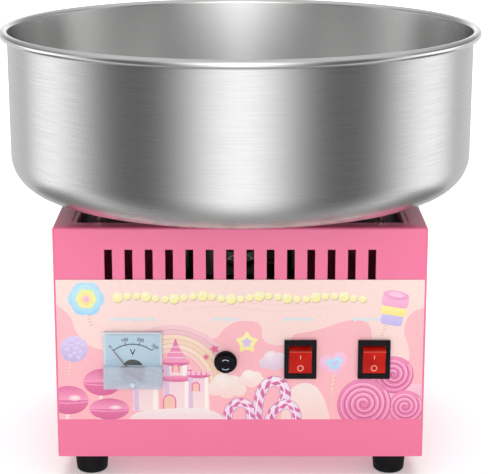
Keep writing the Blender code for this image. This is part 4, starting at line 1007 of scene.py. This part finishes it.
def fuse_knob():
    stem, face = FUSE_TUBE - GAP, CONTROL_SEAT - KNOB_TOP
    profile = [(0, KNOB_TOP - 0.6 * MM), (6.4 * MM, KNOB_TOP - 0.6 * MM), (6.8 * MM, KNOB_TOP),
               (9.3 * MM, KNOB_TOP), (9.3 * MM, KNOB_BOTTOM), (stem, KNOB_BOTTOM), (stem, -8 * MM),
               (3.4 * MM, -8 * MM), (3.4 * MM, 1 * MM), (0, 1 * MM)]
    grooves = bmesh.new()
    for angle in round_circle(24):
        depths = (face + 2.2 * MM, CONTROL_SEAT - KNOB_BOTTOM - 1 * MM)
        add_rod(grooves, 0.55 * MM, clock(FUSE_PLACE, 9.5 * MM, angle), depths, 10)
    slit = solid(add_block, FUSE_PLACE, (4.6 * MM, 0.55 * MM), (face - 1 * MM, face + 1.9 * MM))
    knob = machined(turned(profile, 0.8 * MM, 80, fuse_axis()), (grooves, "DIFFERENCE"), (slit, "DIFFERENCE"))
    piece("fuse_knob", knob, BLACK_PLASTIC, "fuse_cap", "black_plastic", "fuse_cap")

    marks = bmesh.new()
    for middle in (180, 0):
        sweep = [math.radians(middle + 40 * (i / 6 - 1)) for i in range(13)]
        add_strip(marks, [clock(FUSE_PLACE, 5.4 * MM, a) for a in sweep], 0.32 * MM, face + 0.61 * MM)
    piece("knob_marks", as_mesh(marks), PALE_PLASTIC, "fuse_cap", "pale_plastic")


def glass_fuse():
    end, cap, glass = 0.5 * MM, 3.1 * MM, 2.7 * MM
    cap_length, length = 6 * MM, 30 * MM
    first, last = end - cap_length, end - length + cap_length
    profile = [(0, end), (cap, end), (cap, first), (glass, first), (glass, last), (cap, last),
               (cap, end - length), (0, end - length)]
    tube = turned(profile, 0.4 * MM, 40, fuse_axis())
    for face in tube.polygons:
        depth = face.center.y - CONTROL_SEAT + end
        face.material_index = 0 if cap_length < depth < length - cap_length else 1
    piece("glass_fuse", tube, [GLASS, CAP_METAL], "fuse_carrier", "glass", "fuse_link")


def rocker_front(up):
    """How far the rocker's dished face stands out at a height."""
    return ROCKER_REACH - ROCKER_DISH * (1 - (up / ROCKER_HALF) ** 2)


def rocker_outline():
    """Side view of a rocker: (outwards, up) from its pivot, with a dished front face."""
    heights = [ROCKER_HALF * (1 - i / 8) for i in range(17)]
    front = [(rocker_front(up), up) for up in heights]
    return [(-3 * MM, 15 * MM), *front, (-3 * MM, -15 * MM), (-6 * MM, -9 * MM), (-6 * MM, 9 * MM)]


def switch_frame(name, x):
    middle, back = (x, CONTROL_Z), CONTROL_SEAT + 24 * MM
    bezel = block_mesh(middle, (17 * MM, 21.25 * MM), (SWITCH_FRONT, CONTROL_SEAT), 0.9 * MM)
    rear = solid(add_block, middle, (14 * MM, 18.2 * MM), (CONTROL_SEAT - 1 * MM, back))
    depths = (SWITCH_FRONT - 5 * MM, SWITCH_FRONT + 18.5 * MM)
    pocket = solid(add_block, middle, (12.3 * MM, 15.75 * MM), depths)
    blades = bmesh.new()
    for step in (-1, 0, 1):
        place = (x, CONTROL_Z + step * 11 * MM)
        add_block(blades, place, (3.1 * MM, 0.4 * MM), (back - 1 * MM, back + 9 * MM), 0.15 * MM, 1)
    mesh = machined(bezel, (rear, "UNION"), (pocket, "DIFFERENCE"), (blades, "UNION"))
    for face in mesh.polygons:
        if face.center.y > back + 0.1 * MM:
            face.material_index = 1
    piece(f"{name}_bezel", mesh, [BLACK_PLASTIC, BRASS], "machine", "black_plastic", f"{name}_switch_frame")


def rocker_paddle(name, tilt):
    bm = bmesh.new()
    sides = [[bm.verts.new((side * 11.9 * MM, -out, up)) for out, up in rocker_outline()] for side in (-1, 1)]
    count = len(sides[0])
    for i in range(count):
        j = (i + 1) % count
        bm.faces.new((sides[0][i], sides[0][j], sides[1][j], sides[1][i]))
    bm.faces.new(sides[0][::-1])
    bm.faces.new(sides[1])
    bmesh.ops.recalc_face_normals(bm, faces=bm.faces)
    sharp = [e for e in bm.edges if e.calc_face_angle(0) > math.radians(30)]
    bmesh.ops.bevel(bm, geom=sharp, offset=0.5 * MM, segments=3, profile=0.5, affect="EDGES")
    mesh = as_mesh(bm)
    # Bevel faces between the dished front and the top end get the lighter red, a painted highlight.
    for face in mesh.polygons:
        if face.center.z > 12 * MM and -0.97 < face.normal.y < -0.45:
            face.material_index = 1
    mesh.transform(tilt)
    piece(f"{name}_paddle", mesh, [RED_LENS, RED_PAINTED_HIGHLIGHT], f"{name}_rocker", "red_plastic", f"{name}_rocker")


def rocker_symbols(name, tilt):
    """A bar and a circle that follow the dished face."""
    marks = bmesh.new()
    bar = [(0, up * MM) for up in (3.4, 5, 6.6, 8.2)]
    circle = [clock((0, -7.4 * MM), 2.9 * MM, a) for a in [*round_circle(32), 2 * math.pi]]
    for path in (bar, circle):
        add_strip(marks, path, 0.42 * MM, 0)
    for vert in marks.verts:
        vert.co.y -= rocker_front(vert.co.z) + 0.02 * MM
    mesh = as_mesh(marks)
    mesh.transform(tilt)
    piece(f"{name}_symbols", mesh, SYMBOL_INK, f"{name}_rocker", "pale_plastic")


def rocker_switches():
    for name, x in SWITCH_X.items():
        pivot = (x, SWITCH_FRONT + 5.5 * MM, CONTROL_Z)
        tilt = Matrix.Translation(pivot) @ Matrix.Rotation(ROCKER_TILT, 4, "X")
        switch_frame(name, x)
        rocker_paddle(name, tilt)
        rocker_symbols(name, tilt)


# ---------------------------------------------------------------- mains side


def power_inlet():
    flange, inner = BACK + GAP, BACK - 18 * MM
    plate = block_mesh(INLET_PLACE, (24 * MM, 11.5 * MM), (flange, flange + 3 * MM), 1.2 * MM)
    rear = solid(add_block, INLET_PLACE, (13.5 * MM, 9.7 * MM), (inner, flange + 1 * MM))
    recess = solid(add_block, INLET_PLACE, (12.1 * MM, 8.3 * MM), (inner + 3 * MM, flange + 9 * MM))
    pins = bmesh.new()
    for pin in INLET_PINS:
        add_block(pins, pin, (1 * MM, 2 * MM), (inner + 1 * MM, inner + 13 * MM), 0.3 * MM, 1)
    mesh = machined(plate, (rear, "UNION"), (recess, "DIFFERENCE"), (pins, "UNION"))
    for face in mesh.polygons:
        centre = face.center
        near = any(abs(centre.x - x) < 1.2 * MM and abs(centre.z - z) < 2.2 * MM for x, z in INLET_PINS)
        if near and centre.y > inner + 3.1 * MM:
            face.material_index = 1
    piece("mains_inlet", mesh, [BLACK_PLASTIC, BRASS], "machine", "black_plastic", "power_inlet")


def carried_over():
    """CAD pieces that keep their shape and get a finish."""
    looks = {
        "motor_plate": BLACK_PAINT, "motor_can": ZINC, "rotor_core": ZINC, "magnet_ring": CARBON,
        "motor_top_bell": ALUMINIUM, "motor_bottom_bell": ALUMINIUM,
        "upper_bearing": CHROME, "lower_bearing": CHROME,
        "slip_ring_hub": RESIN, "slip_ring_upper": BRASS, "slip_ring_lower": BRASS, "brush_block": RESIN,
        "upper_brush": CARBON, "lower_brush": CARBON, "control_board": BOARD,
        "motor_lead": RED_WIRE, "heater_lead": RED_WIRE,
    }
    for corner in four_corners(1, 1):
        looks[f"damper_{corner}"] = RUBBER
    for name, look in looks.items():
        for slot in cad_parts[name].material_slots:
            slot.material = look


# ---------------------------------------------------------------- printed panel

INK_STEP = 0.012 * MM  # each layer of print lies this far in front of the last
CREAM, PEACH = srgb(254, 224, 216), srgb(253, 214, 208)
ICING, ICING_LOW = srgb(253, 186, 194), srgb(255, 176, 186)
WHITE, BISCUIT = srgb(255, 244, 240), srgb(222, 168, 140)
CANDY, MAGENTA, BLUSH = srgb(240, 104, 168), srgb(214, 62, 136), srgb(252, 196, 216)


def turned_points(points, center, angle):
    c, s = math.cos(angle), math.sin(angle)
    return [(center[0] + x * c - z * s, center[1] + x * s + z * c) for x, z in points]


def oval(x, z, radius_x, radius_z=None):
    radius_z = radius_z or radius_x
    return [(x + radius_x * math.cos(a), z + radius_z * math.sin(a)) for a in round_circle(48)]


def scallops(x, z, radius, lobes, depth, phase=0.0):
    """A round outline with soft lobes, as spun sugar has."""
    def reach(angle):
        return radius * (1 - depth + depth * abs(math.cos((angle + phase) * lobes / 2)) ** 0.7)
    return [polar((x, z), reach(a), a) for a in round_circle(120)]


def smooth_path(points, steps=8):
    """A smooth curve through the points."""
    last = len(points) - 1
    made = []
    for i in range(last):
        four = [points[min(max(k, 0), last)] for k in range(i - 1, i + 3)]
        for j in range(steps):
            t = j / steps
            weights = (-t + 2 * t * t - t ** 3, 2 - 5 * t * t + 3 * t ** 3,
                       t + 4 * t * t - 3 * t ** 3, t ** 3 - t * t)
            made.append(tuple(sum(w * p[k] for w, p in zip(weights, four)) / 2 for k in (0, 1)))
    return made + [tuple(points[-1])]


def ribbon(path, half_width, taper=0.0):
    """The outline of a band along a path."""
    left, right = [], []
    for i, point in enumerate(path):
        before, after = Vector(path[max(i - 1, 0)]), Vector(path[min(i + 1, len(path) - 1)])
        along = (after - before).normalized()
        normal = Vector((-along.y, along.x)) * half_width * (1 - taper * i / (len(path) - 1))
        left.append(tuple(Vector(point) + normal))
        right.append(tuple(Vector(point) - normal))
    return left + right[::-1]


class Print:
    """Thin patches of ink on the front film, in millimetres across and up, kept inside its edges."""

    def __init__(self):
        self.bm = bmesh.new()
        self.ink = self.bm.verts.layers.float_color.new("ink")

    def patch(self, outline, layer, low, high=None):
        """A patch in one colour, or shaded from its lowest point up to its highest."""
        points = self.trimmed(outline)
        if len(points) < 3:
            return
        heights = [z for _, z in points]
        bottom, span = min(heights), max(max(heights) - min(heights), 0.01)
        front = DECAL_FACE - (layer + 1) * INK_STEP
        rings = []
        for y in (front, DECAL_FACE + 0.004 * MM):
            rings.append([self.bm.verts.new((x * MM, y, z * MM)) for x, z in points])
            for vert, (_, z) in zip(rings[-1], points):
                vert[self.ink] = blend_colors(low, high or low, (z - bottom) / span)
        count = len(points)
        self.bm.faces.new(rings[0])
        self.bm.faces.new(rings[1][::-1])
        for i in range(count):
            j = (i + 1) % count
            self.bm.faces.new((rings[0][i], rings[1][i], rings[1][j], rings[0][j]))

    def trimmed(self, outline):
        """The outline cut off at the edges of the film."""
        limit, low, high = DECAL_HALF / MM - 0.1, DECAL_BOTTOM / MM + 0.1, DECAL_TOP / MM - 0.1
        edges = ((0, -limit, 1), (0, limit, -1), (1, low, 1), (1, high, -1))
        points = [tuple(p) for p in outline]
        for axis, bound, side in edges:
            kept = []
            for here, there in zip(points, points[1:] + points[:1]):
                inside, next_inside = ((p[axis] - bound) * side >= 0 for p in (here, there))
                if inside:
                    kept.append(here)
                if inside != next_inside:
                    t = (bound - here[axis]) / (there[axis] - here[axis])
                    kept.append(tuple(a + (b - a) * t for a, b in zip(here, there)))
            points = kept
        return [p for i, p in enumerate(points) if (Vector(p) - Vector(points[i - 1])).length > 0.02]


def icing(art):
    """Peach sky with pale icing that runs down from the top."""
    art.patch([(-193, 66), (193, 66), (193, 221), (-193, 221)], 0, ICING_LOW, ICING)
    drip = smooth_path([
        (-193, 194), (-184, 187), (-177, 178), (-174, 168), (-168, 157), (-159, 149), (-149, 145),
        (-132, 143), (-100, 148), (-70, 152), (-44, 155), (-26, 157), (-18, 166), (-6, 174), (6, 176),
        (18, 174), (23, 167), (23, 158), (30, 151), (42, 149), (51, 153), (57, 161), (72, 164),
        (88, 168), (104, 174), (120, 177), (133, 174), (138, 164), (139, 152), (150, 140), (170, 130),
        (178, 134), (177, 148), (172, 164), (175, 178), (183, 187), (193, 190)])
    art.patch(drip + [(193, 221), (-193, 221)], 1, PEACH, CREAM)
    for level, shade in ((196, srgb(250, 204, 204)), (189, srgb(251, 208, 204))):
        wave = smooth_path([(-60 + 24 * i, level + 3 * math.sin(i * 1.1)) for i in range(9)])
        art.patch(ribbon(wave, 0.5, 0.6), 2, shade)


def garland(art):
    """A row of lemon drops and beads along the top."""
    for i in range(27):
        x = -128 + 9.85 * i
        lift = 201.5 + 1.8 * math.sin(i * 0.9)
        size = 5.4 if i % 3 == 0 else 3.9
        art.patch(oval(x + 0.5, lift - 0.9, size, size), 3, srgb(206, 178, 150))
        art.patch(oval(x, lift, size, size), 4, srgb(250, 240, 150), srgb(255, 252, 196))
        art.patch(oval(x - size * 0.3, lift + size * 0.35, size * 0.25), 5, srgb(255, 255, 236))


def beads(art):
    """Pale blue dots over each control."""
    for middle, count in ((-113, 9), (-16, 5), (62, 6), (137, 7)):
        for i in range(count):
            x = middle + (i - (count - 1) / 2) * 5.4
            art.patch(oval(x, 177.5 + 0.5 * (i % 2), 1.7 if i % 2 else 2.2), 3, srgb(206, 232, 240))


def stripes(art, start, end, count, layer, half_width=0.9):
    """A thin stick wound with paper."""
    start, end = Vector(start), Vector(end)
    art.patch(ribbon([tuple(start), tuple(end)], half_width), layer, srgb(252, 226, 204))
    for i in range(count):
        middle = start.lerp(end, (i + 0.5) / count)
        stripe = [(middle.x + side * 1.6, middle.y + side * 0.9) for side in (-1, 1)]
        art.patch(ribbon(stripe, 0.4), layer + 1, BISCUIT)


def spun_flower(art):
    stripes(art, (-160, 186), (-156, 170), 5, 3)
    for radius, phase, low, high in ((19, 0.0, srgb(150, 216, 250), srgb(176, 228, 250)),
                                     (15.5, 0.35, srgb(166, 224, 250), srgb(190, 236, 246)),
                                     (11, 0.1, srgb(250, 240, 150), srgb(240, 246, 160)),
                                     (7.2, 0.5, srgb(252, 226, 150), srgb(250, 240, 140)),
                                     (3.6, 0.0, srgb(240, 176, 214), srgb(248, 190, 220))):
        layer = 5 + int((19 - radius) / 2.6)
        art.patch(scallops(-161, 200, radius, 6, 0.12, phase), layer, low, high)


def lilac_puff(art):
    stripes(art, (-178, 134), (-182, 117), 5, 3)
    art.patch(scallops(-175, 145, 15, 11, 0.08), 5, srgb(190, 172, 224), srgb(222, 206, 244))
    for i in range(12):
        puff = oval(*polar((-175, 145), 3.4 * math.sqrt(i + 0.5), 2.4 * i), 2.6)
        art.patch(puff, 6, srgb(198, 180, 230), srgb(230, 216, 248))


def gum_ball(art, x, z, radius_x, radius_z, layer, stick_to):
    art.patch(ribbon([(x, z), stick_to], 1.6), layer, srgb(246, 226, 226))
    art.patch(oval(x, z, radius_x, radius_z), layer + 1, MAGENTA, srgb(240, 112, 172))
    top = [p for p in oval(x, z, radius_x * 0.99, radius_z * 0.98) if p[1] >= z - radius_z * 0.1]
    art.patch(top, layer + 2, srgb(250, 150, 190), srgb(226, 84, 150))
    across = [i / 8 - 1 for i in range(17)]
    band = [(x + radius_x * 0.98 * t, z - radius_z * (0.1 + 0.12 * (1 - t ** 2))) for t in across]
    art.patch(ribbon(band, 0.55), layer + 3, srgb(252, 150, 196))
    for step, right, up, wide, high, shade in ((3, 0.3, 0.15, 0.3, 0.2, srgb(253, 196, 214)),
                                               (4, 0.32, 0.17, 0.17, 0.1, srgb(255, 226, 226))):
        shine = oval(x + radius_x * right, z + radius_z * up, radius_x * wide, radius_z * high)
        art.patch(shine, layer + step, shade)


def rainbow(art):
    shades = (srgb(244, 184, 196), srgb(238, 172, 188), srgb(248, 214, 178), srgb(244, 204, 166),
              srgb(250, 220, 186), srgb(252, 196, 190))
    for i, shade in enumerate(shades):
        band, edge = (arc((-72, 106), radius - 5.2 * i, 0, 180, 48) for radius in (63, 60.4))
        art.patch(ribbon(band, 2.6), 2, shade, blend_colors(shade, WHITE, 0.25))
        art.patch(ribbon(edge, 0.3), 3, srgb(222, 160, 160))


def tapered(x, low, high, bottom, top):
    """An upright patch, with its half widths at the bottom and the top."""
    return [(x - bottom, low), (x + bottom, low), (x + top, high), (x - top, high)]


def tower(art, x, low, high, half_width, layer, roof):
    """A round tower under a cone, or under battlements where the roof is 0."""
    wall = tapered(x, low, high, half_width, half_width * 0.92)
    art.patch(wall, layer, srgb(252, 226, 222), srgb(246, 206, 222))
    for sign, shade in ((-1, srgb(222, 190, 224)), (1, srgb(255, 244, 236))):
        edge = tapered(x + sign * half_width * 0.72, low, high, half_width * 0.2, half_width * 0.16)
        art.patch(edge, layer + 1, shade)
    art.patch(oval(x, high, half_width * 1.12, half_width * 0.3), layer + 2, MAGENTA, CANDY)
    if not roof:
        for i in range(-2, 3):
            middle, half = x + i * half_width * 0.48, half_width * 0.17
            merlon = tapered(middle, high, high + 4.5, half, half)
            art.patch(merlon, layer + 3, srgb(252, 190, 214))
        return
    *eaves, last = tapered(x, high, high + roof * 0.55, half_width * 1.08, half_width * 0.35)
    art.patch([*eaves, (x, high + roof), last], layer + 3, srgb(250, 150, 192), srgb(224, 80, 150))
    for share in (0.2, 0.42, 0.64):
        width, level = half_width * (1 - share), high + roof * share
        art.patch(ribbon([(x - width, level), (x + width, level)], 0.7), layer + 4, BLUSH)


def window(art, x, low, height, half_width, layer):
    for grow, shade in ((1.6, CANDY), (0, srgb(246, 196, 170))):
        top = arc((x, low + height - half_width), half_width + grow, 0, 180, 12)
        art.patch([(x + half_width + grow, low), *top, (x - half_width - grow, low)], layer, shade)
        layer += 1


def castle(art):
    tower(art, -100, 76, 124, 14, 5, 20)
    tower(art, -67, 76, 122, 15, 5, 0)
    tower(art, -68, 112, 130, 13, 9, 27)
    art.patch(oval(-67, 112, 17, 3.6), 12, MAGENTA, srgb(250, 150, 196))
    tower(art, -44, 76, 116, 11.5, 13, 0)
    window(art, -68, 119, 8, 2.6, 14)
    window(art, -47, 98, 9, 3, 17)
    window(art, -75, 78, 15, 5.6, 12)
    ground = smooth_path([(-119, 64), (-112, 73), (-94, 77), (-64, 79), (-36, 78), (-22, 72), (-13, 64)])
    art.patch(ground, 19, srgb(246, 218, 222), srgb(252, 236, 234))


def cloud(art, x, z, radius, layer, low, high):
    """One outline round five overlapping puffs, with a lighter top on the tallest."""
    puffs = [(Vector((dx, dz)) * radius, share * radius) for dx, dz, share in
             ((-1.0, -0.25, 0.62), (1.0, -0.3, 0.6), (-0.35, 0.3, 0.8), (0.5, 0.2, 0.72), (0, -0.3, 0.8))]
    outline = []
    for a in round_circle(120):
        ray = Vector((math.cos(a), math.sin(a)))
        reach = 0.0
        for middle, size in puffs:
            along = middle.dot(ray)
            inside = size * size - (middle - ray * along).length_squared
            if inside > 0:
                reach = max(reach, along + math.sqrt(inside))
        outline.append((x + ray.x * reach, z + ray.y * reach))
    art.patch(outline, layer, low, high)
    middle, top = blend_colors(low, high, 0.7), blend_colors(high, WHITE, 0.7)
    art.patch(oval(x - radius * 0.35, z + radius * 0.42, radius * 0.58), layer + 1, middle, high)
    art.patch(oval(x - radius * 0.42, z + radius * 0.6, radius * 0.28), layer + 2, high, top)


def five_star(x, z, outer, inner, lean=0.0):
    start = math.pi / 2 + lean
    points = [polar((x, z), inner if i % 2 else outer, start + math.pi * i / 5) for i in range(10)]
    return rounded(points, outer * 0.22)


def cane(art, path, half_width, layer):
    """A striped cane along a path."""
    curve = smooth_path(path, 10)
    art.patch(ribbon(curve, half_width + 0.7), layer, srgb(196, 120, 176))
    art.patch(ribbon(curve, half_width), layer + 1, srgb(236, 204, 236), srgb(250, 232, 246))
    walked, last = 0.0, 0.0
    for here, there in zip(curve, curve[1:]):
        here, there = Vector(here), Vector(there)
        walked += (there - here).length
        if walked - last > half_width * 2.1:
            last = walked
            along = (there - here).normalized()
            side = Vector((-along.y, along.x)) * half_width * 0.97
            lean = along * half_width * 0.95
            wide = along * half_width * 0.56
            corners = (here + side + lean - wide, here + side + lean + wide, here - side - lean + wide,
                       here - side - lean - wide)
            art.patch([tuple(c) for c in corners], layer + 2, srgb(206, 62, 142), srgb(232, 98, 170))
    shine = [(x - half_width * 0.2, z + half_width * 0.35) for x, z in curve]
    art.patch(ribbon(shine, half_width * 0.13), layer + 3, srgb(255, 240, 250))


def swirl(art, x, z, radius, layer, turns):
    """A rolled sweet: a disc with a coil, its light edge and its dark edge."""
    art.patch(oval(x + 0.6, z - 0.8, radius * 1.03), layer, srgb(208, 72, 136))
    art.patch(oval(x, z, radius), layer + 1, srgb(230, 92, 158), srgb(242, 124, 180))
    pitch = 0.8 * radius / turns
    shares = [i / (turns * 32) for i in range(turns * 32 + 1)]
    bands = ((0.0, 0.62, srgb(232, 98, 164), srgb(246, 138, 190)),
             (0.18, 0.2, srgb(250, 160, 200), srgb(255, 196, 222)),
             (-0.42, 0.22, srgb(186, 46, 120), srgb(206, 66, 140)))
    for level, (shift, width, low, high) in enumerate(bands):
        coil = [polar((x, z), radius * (0.13 + 0.8 * t) + shift * pitch, 2 * math.pi * turns * t + 0.6)
                for t in shares]
        for i in range(0, len(coil) - 1, 16):
            art.patch(ribbon(coil[i:i + 17], pitch * width / 2), layer + 2 + level, low, high)


def heart(x, z, size, lean=0.0):
    unit = size * 0.062
    points = [(unit * 16 * math.sin(t) ** 3,
               unit * (13 * math.cos(t) - 5 * math.cos(2 * t) - 2 * math.cos(3 * t) - math.cos(4 * t)))
              for t in round_circle(48)]
    return turned_points(points, (x, z), lean)


def sweets(art):
    """Clouds, stars, canes, a heart and swirls, from the middle to the right."""
    cloud(art, -14, 104, 13, 4, srgb(250, 214, 206), srgb(254, 240, 232))
    cloud(art, 12, 112, 9, 7, srgb(250, 216, 208), srgb(255, 242, 234))
    cloud(art, 36, 132, 10, 3, srgb(222, 196, 220), srgb(246, 226, 236))
    for x, z, size in ((-27, 145, 5.5), (-36, 136, 4)):
        art.patch(five_star(x, z, size, size * 0.48, 0.3), 13, srgb(232, 80, 140))
    art.patch(five_star(7, 152, 13.5, 7.4), 5, srgb(252, 238, 140), srgb(255, 250, 176))
    art.patch(five_star(7, 152, 6.4, 3.6), 6, srgb(216, 196, 238))
    hill = smooth_path([(42, 62), (47, 84), (54, 100), (65, 107), (79, 104), (89, 89), (97, 62)])
    art.patch(hill, 4, srgb(252, 212, 206), srgb(250, 232, 226))
    mound = smooth_path([(108, 62), (120, 78), (134, 92), (152, 100), (193, 104), (193, 62)])
    art.patch(mound, 3, srgb(228, 130, 170), BLUSH)
    cane(art, [(17, 64), (19, 84), (24, 101), (33, 109), (44, 106), (48, 95), (45, 86)], 5.2, 10)
    cane(art, [(-14, 60), (-12, 76), (-3, 85), (8, 82), (11, 70), (11, 62)], 4.6, 14)
    cane(art, [(29, 62), (36, 76), (46, 83), (56, 80), (60, 68), (59, 60)], 4.8, 14)
    stripes(art, (99, 120), (97, 96), 5, 3, 0.7)
    art.patch(heart(99, 129, 15, 0.25), 5, srgb(246, 184, 220), srgb(250, 198, 228))
    art.patch(heart(99.5, 129, 8.6, 0.25), 6, srgb(160, 220, 246), srgb(184, 230, 250))
    art.patch(heart(100, 129, 4, 0.25), 7, srgb(196, 200, 240))
    swirl(art, 162, 117, 20, 4, 3)
    swirl(art, 175, 81, 18, 9, 3)
    swirl(art, 131, 84, 28, 14, 4)


def layered_floss(art):
    """A tall floss in three bands, on a stick."""
    stripes(art, (154, 172), (148, 158), 4, 3)
    lean = -0.16
    for low, high, width, shades in ((-19, -6, 11.5, (srgb(190, 180, 236), srgb(206, 196, 244))),
                                     (-8, 2, 13.5, (srgb(250, 230, 120), srgb(255, 246, 150))),
                                     (1, 15, 14, (srgb(246, 164, 206), srgb(252, 184, 220)))):
        block = rounded([(-width, low), (width, low), (width, high), (-width, high)], 4.5, steps=6)
        art.patch(turned_points(block, (161, 190), lean), 5 if low < -10 else 6 if low < 0 else 7, *shades)
    top = turned_points(oval(0, 0, 13.6, 5), (163, 204), lean)
    art.patch(top, 8, srgb(240, 150, 200), srgb(250, 176, 216))
    art.patch(turned_points(oval(0, 0, 8, 2.6), (163, 204.5), lean), 9, srgb(252, 198, 226))


def front_print():
    """The printed panel: a film with cut-outs for the controls, and the patches of ink on it."""
    low, high = (-DECAL_HALF, DECAL_FACE, DECAL_BOTTOM), (DECAL_HALF, DECAL_FACE + 0.4 * MM, DECAL_TOP)
    film = combined(box_mesh(low, high, 0.1 * MM, 1), solid(front_cutouts))
    for item in film.attributes.new("ink", "FLOAT_COLOR", "POINT").data:
        item.color = PEACH
    piece("front_film", film, PRINT, "machine", "printed_panel", "front_decal")

    art = Print()
    for draw in (icing, garland, beads, spun_flower, lilac_puff, rainbow, castle):
        draw(art)
    gum_ball(art, -146, 108, 20, 15, 5, (-150, 66))
    gum_ball(art, -182, 88, 21, 16, 6, (-184, 66))
    gum_ball(art, -139, 78, 21, 12, 11, (-140, 60))
    sweets(art)
    layered_floss(art)
    piece("front_art", as_mesh(art.bm, 20), PRINT, "machine", "printed_panel")


# ---------------------------------------------------------------- stage

BAND_SPACING = 105  # degrees from one band of light to the next


def sky():
    """Upright soft bands of light round the machine and an even light overhead, plain white to the camera."""
    world = bpy.data.worlds.new("studio")
    bpy.context.scene.world = world
    world.use_nodes = True
    tree = world.node_tree
    background = tree.nodes["Background"]
    background.inputs["Color"].default_value = (1, 1, 1, 1)

    def calculate(operation, first, second=0.0):
        node = tree.nodes.new("ShaderNodeMath")
        node.operation = operation
        for socket, value in zip(node.inputs, (first, second)):
            if isinstance(value, bpy.types.NodeSocket):
                tree.links.new(value, socket)
            else:
                socket.default_value = value
        return node.outputs[0]

    add, subtract, times, power, least, most = (
        functools.partial(calculate, operation)
        for operation in ("ADD", "SUBTRACT", "MULTIPLY", "POWER", "MINIMUM", "MAXIMUM"))

    def clamped(value):
        return least(most(value, 0.0), 1.0)

    def mixed(low, high, share):
        return add(times(low, subtract(1.0, share)), times(high, share))

    split_place = tree.nodes.new("ShaderNodeSeparateXYZ")
    tree.links.new(tree.nodes.new("ShaderNodeTexCoord").outputs["Generated"], split_place.inputs[0])
    x, y, z = split_place.outputs
    toward, away = times(y, -1.0), most(y, 0.0)

    # Bands round the horizon and below it. The back mirrors the front in the floor's light.
    below = calculate("LESS_THAN", z, -0.45)
    azimuth = calculate("ARCTAN2", x, add(toward, times(away, times(below, 2.0))))
    crest = times(add(calculate("COSINE", times(azimuth, 360 / BAND_SPACING)), 1.0), 0.5)
    ridge = power(crest, 1.5)
    behind = times(times(power(away, 0.4), 0.75), subtract(1.0, below))
    bands = most(add(times(ridge, 1.27), 0.12), behind)
    bands = mixed(bands, 0.4, clamped(power(most(times(z, -1.05), 0.0), 4.0)))

    # Bands above the horizon, in front and right behind.
    front_band = times(times(ridge, clamped(times(toward, 2.0))), 2.0)
    back_band = add(power(away, 12.0), 0.18)
    bands = mixed(bands, add(front_band, back_band), clamped(times(z, 8.0)))

    overhead = add(times(bands, 0.2), 0.55)
    light = mixed(bands, overhead, clamped(power(times(most(z, 0.0), 1.5), 2.0)))
    seen = tree.nodes.new("ShaderNodeLightPath").outputs["Is Camera Ray"]
    tree.links.new(most(light, seen), background.inputs["Strength"])


def soft_light(name, place, target, size, power):
    data = bpy.data.lights.new(name, "AREA")
    data.shape = "RECTANGLE"
    data.size, data.size_y = size
    data.energy = power
    obj = bpy.data.objects.new(name, data)
    bpy.context.scene.collection.objects.link(obj)
    obj.location = place
    obj.rotation_euler = (Vector(target) - Vector(place)).to_track_quat("-Z", "Y").to_euler()
    obj.visible_glossy = False


def floor():
    bm = bmesh.new()
    bmesh.ops.create_grid(bm, x_segments=1, y_segments=1, size=30)
    obj = bpy.data.objects.new("floor", as_mesh(bm))
    bpy.context.scene.collection.objects.link(obj)
    look = Look("studio_floor", (0.82, 0.82, 0.82, 1), 0.9, Emission_Color=(1, 1, 1, 1))
    look.tint(look.noise(3), (0.84, 0.84, 0.84, 1), 0.5)
    distance = look.node("VectorMath", {0: look.place()}, operation="LENGTH").outputs["Value"]
    glow = look.spread(distance, 0.27, 0.9, 0.5, 3.0)
    look.tree.links.new(glow, look.shader.inputs["Emission Strength"])
    obj.data.materials.append(look.material)
    obj.visible_glossy = False


def camera():
    data = bpy.data.cameras.new("camera")
    data.lens = 123.1
    data.sensor_width = 36
    obj = bpy.data.objects.new("camera", data)
    bpy.context.scene.collection.objects.link(obj)
    obj.location = (0.004, -1.812, 0.699)
    obj.rotation_euler = (math.radians(75.5), 0, 0)
    bpy.context.scene.camera = obj


bpy.context.scene.view_settings.view_transform = "Standard"
camera()
sky()
floor()
soft_light("front", (0, -2.6, 0.4), (0, 0, 0.15), (2.4, 0.8), 1.2)
soft_light("top", (0, 0, 2.4), (0, 0, 0.3), (2.6, 2.6), 58)

housing_shell()
rear_panel()
rear_screws()
base_plate()
feet()
deck_plate()
bowl()
bowl_posts()
bowl_clips()
head_dish()
heater_coil()
head_band()
head_cap()
nut_and_spindle()
meter_case()
meter_dial()
meter_scale()
movement_window()
meter_movement()
meter_cover()
zero_screw()
pointer()
fuse_socket()
fuse_knob()
glass_fuse()
rocker_switches()
power_inlet()
front_print()
carried_over()
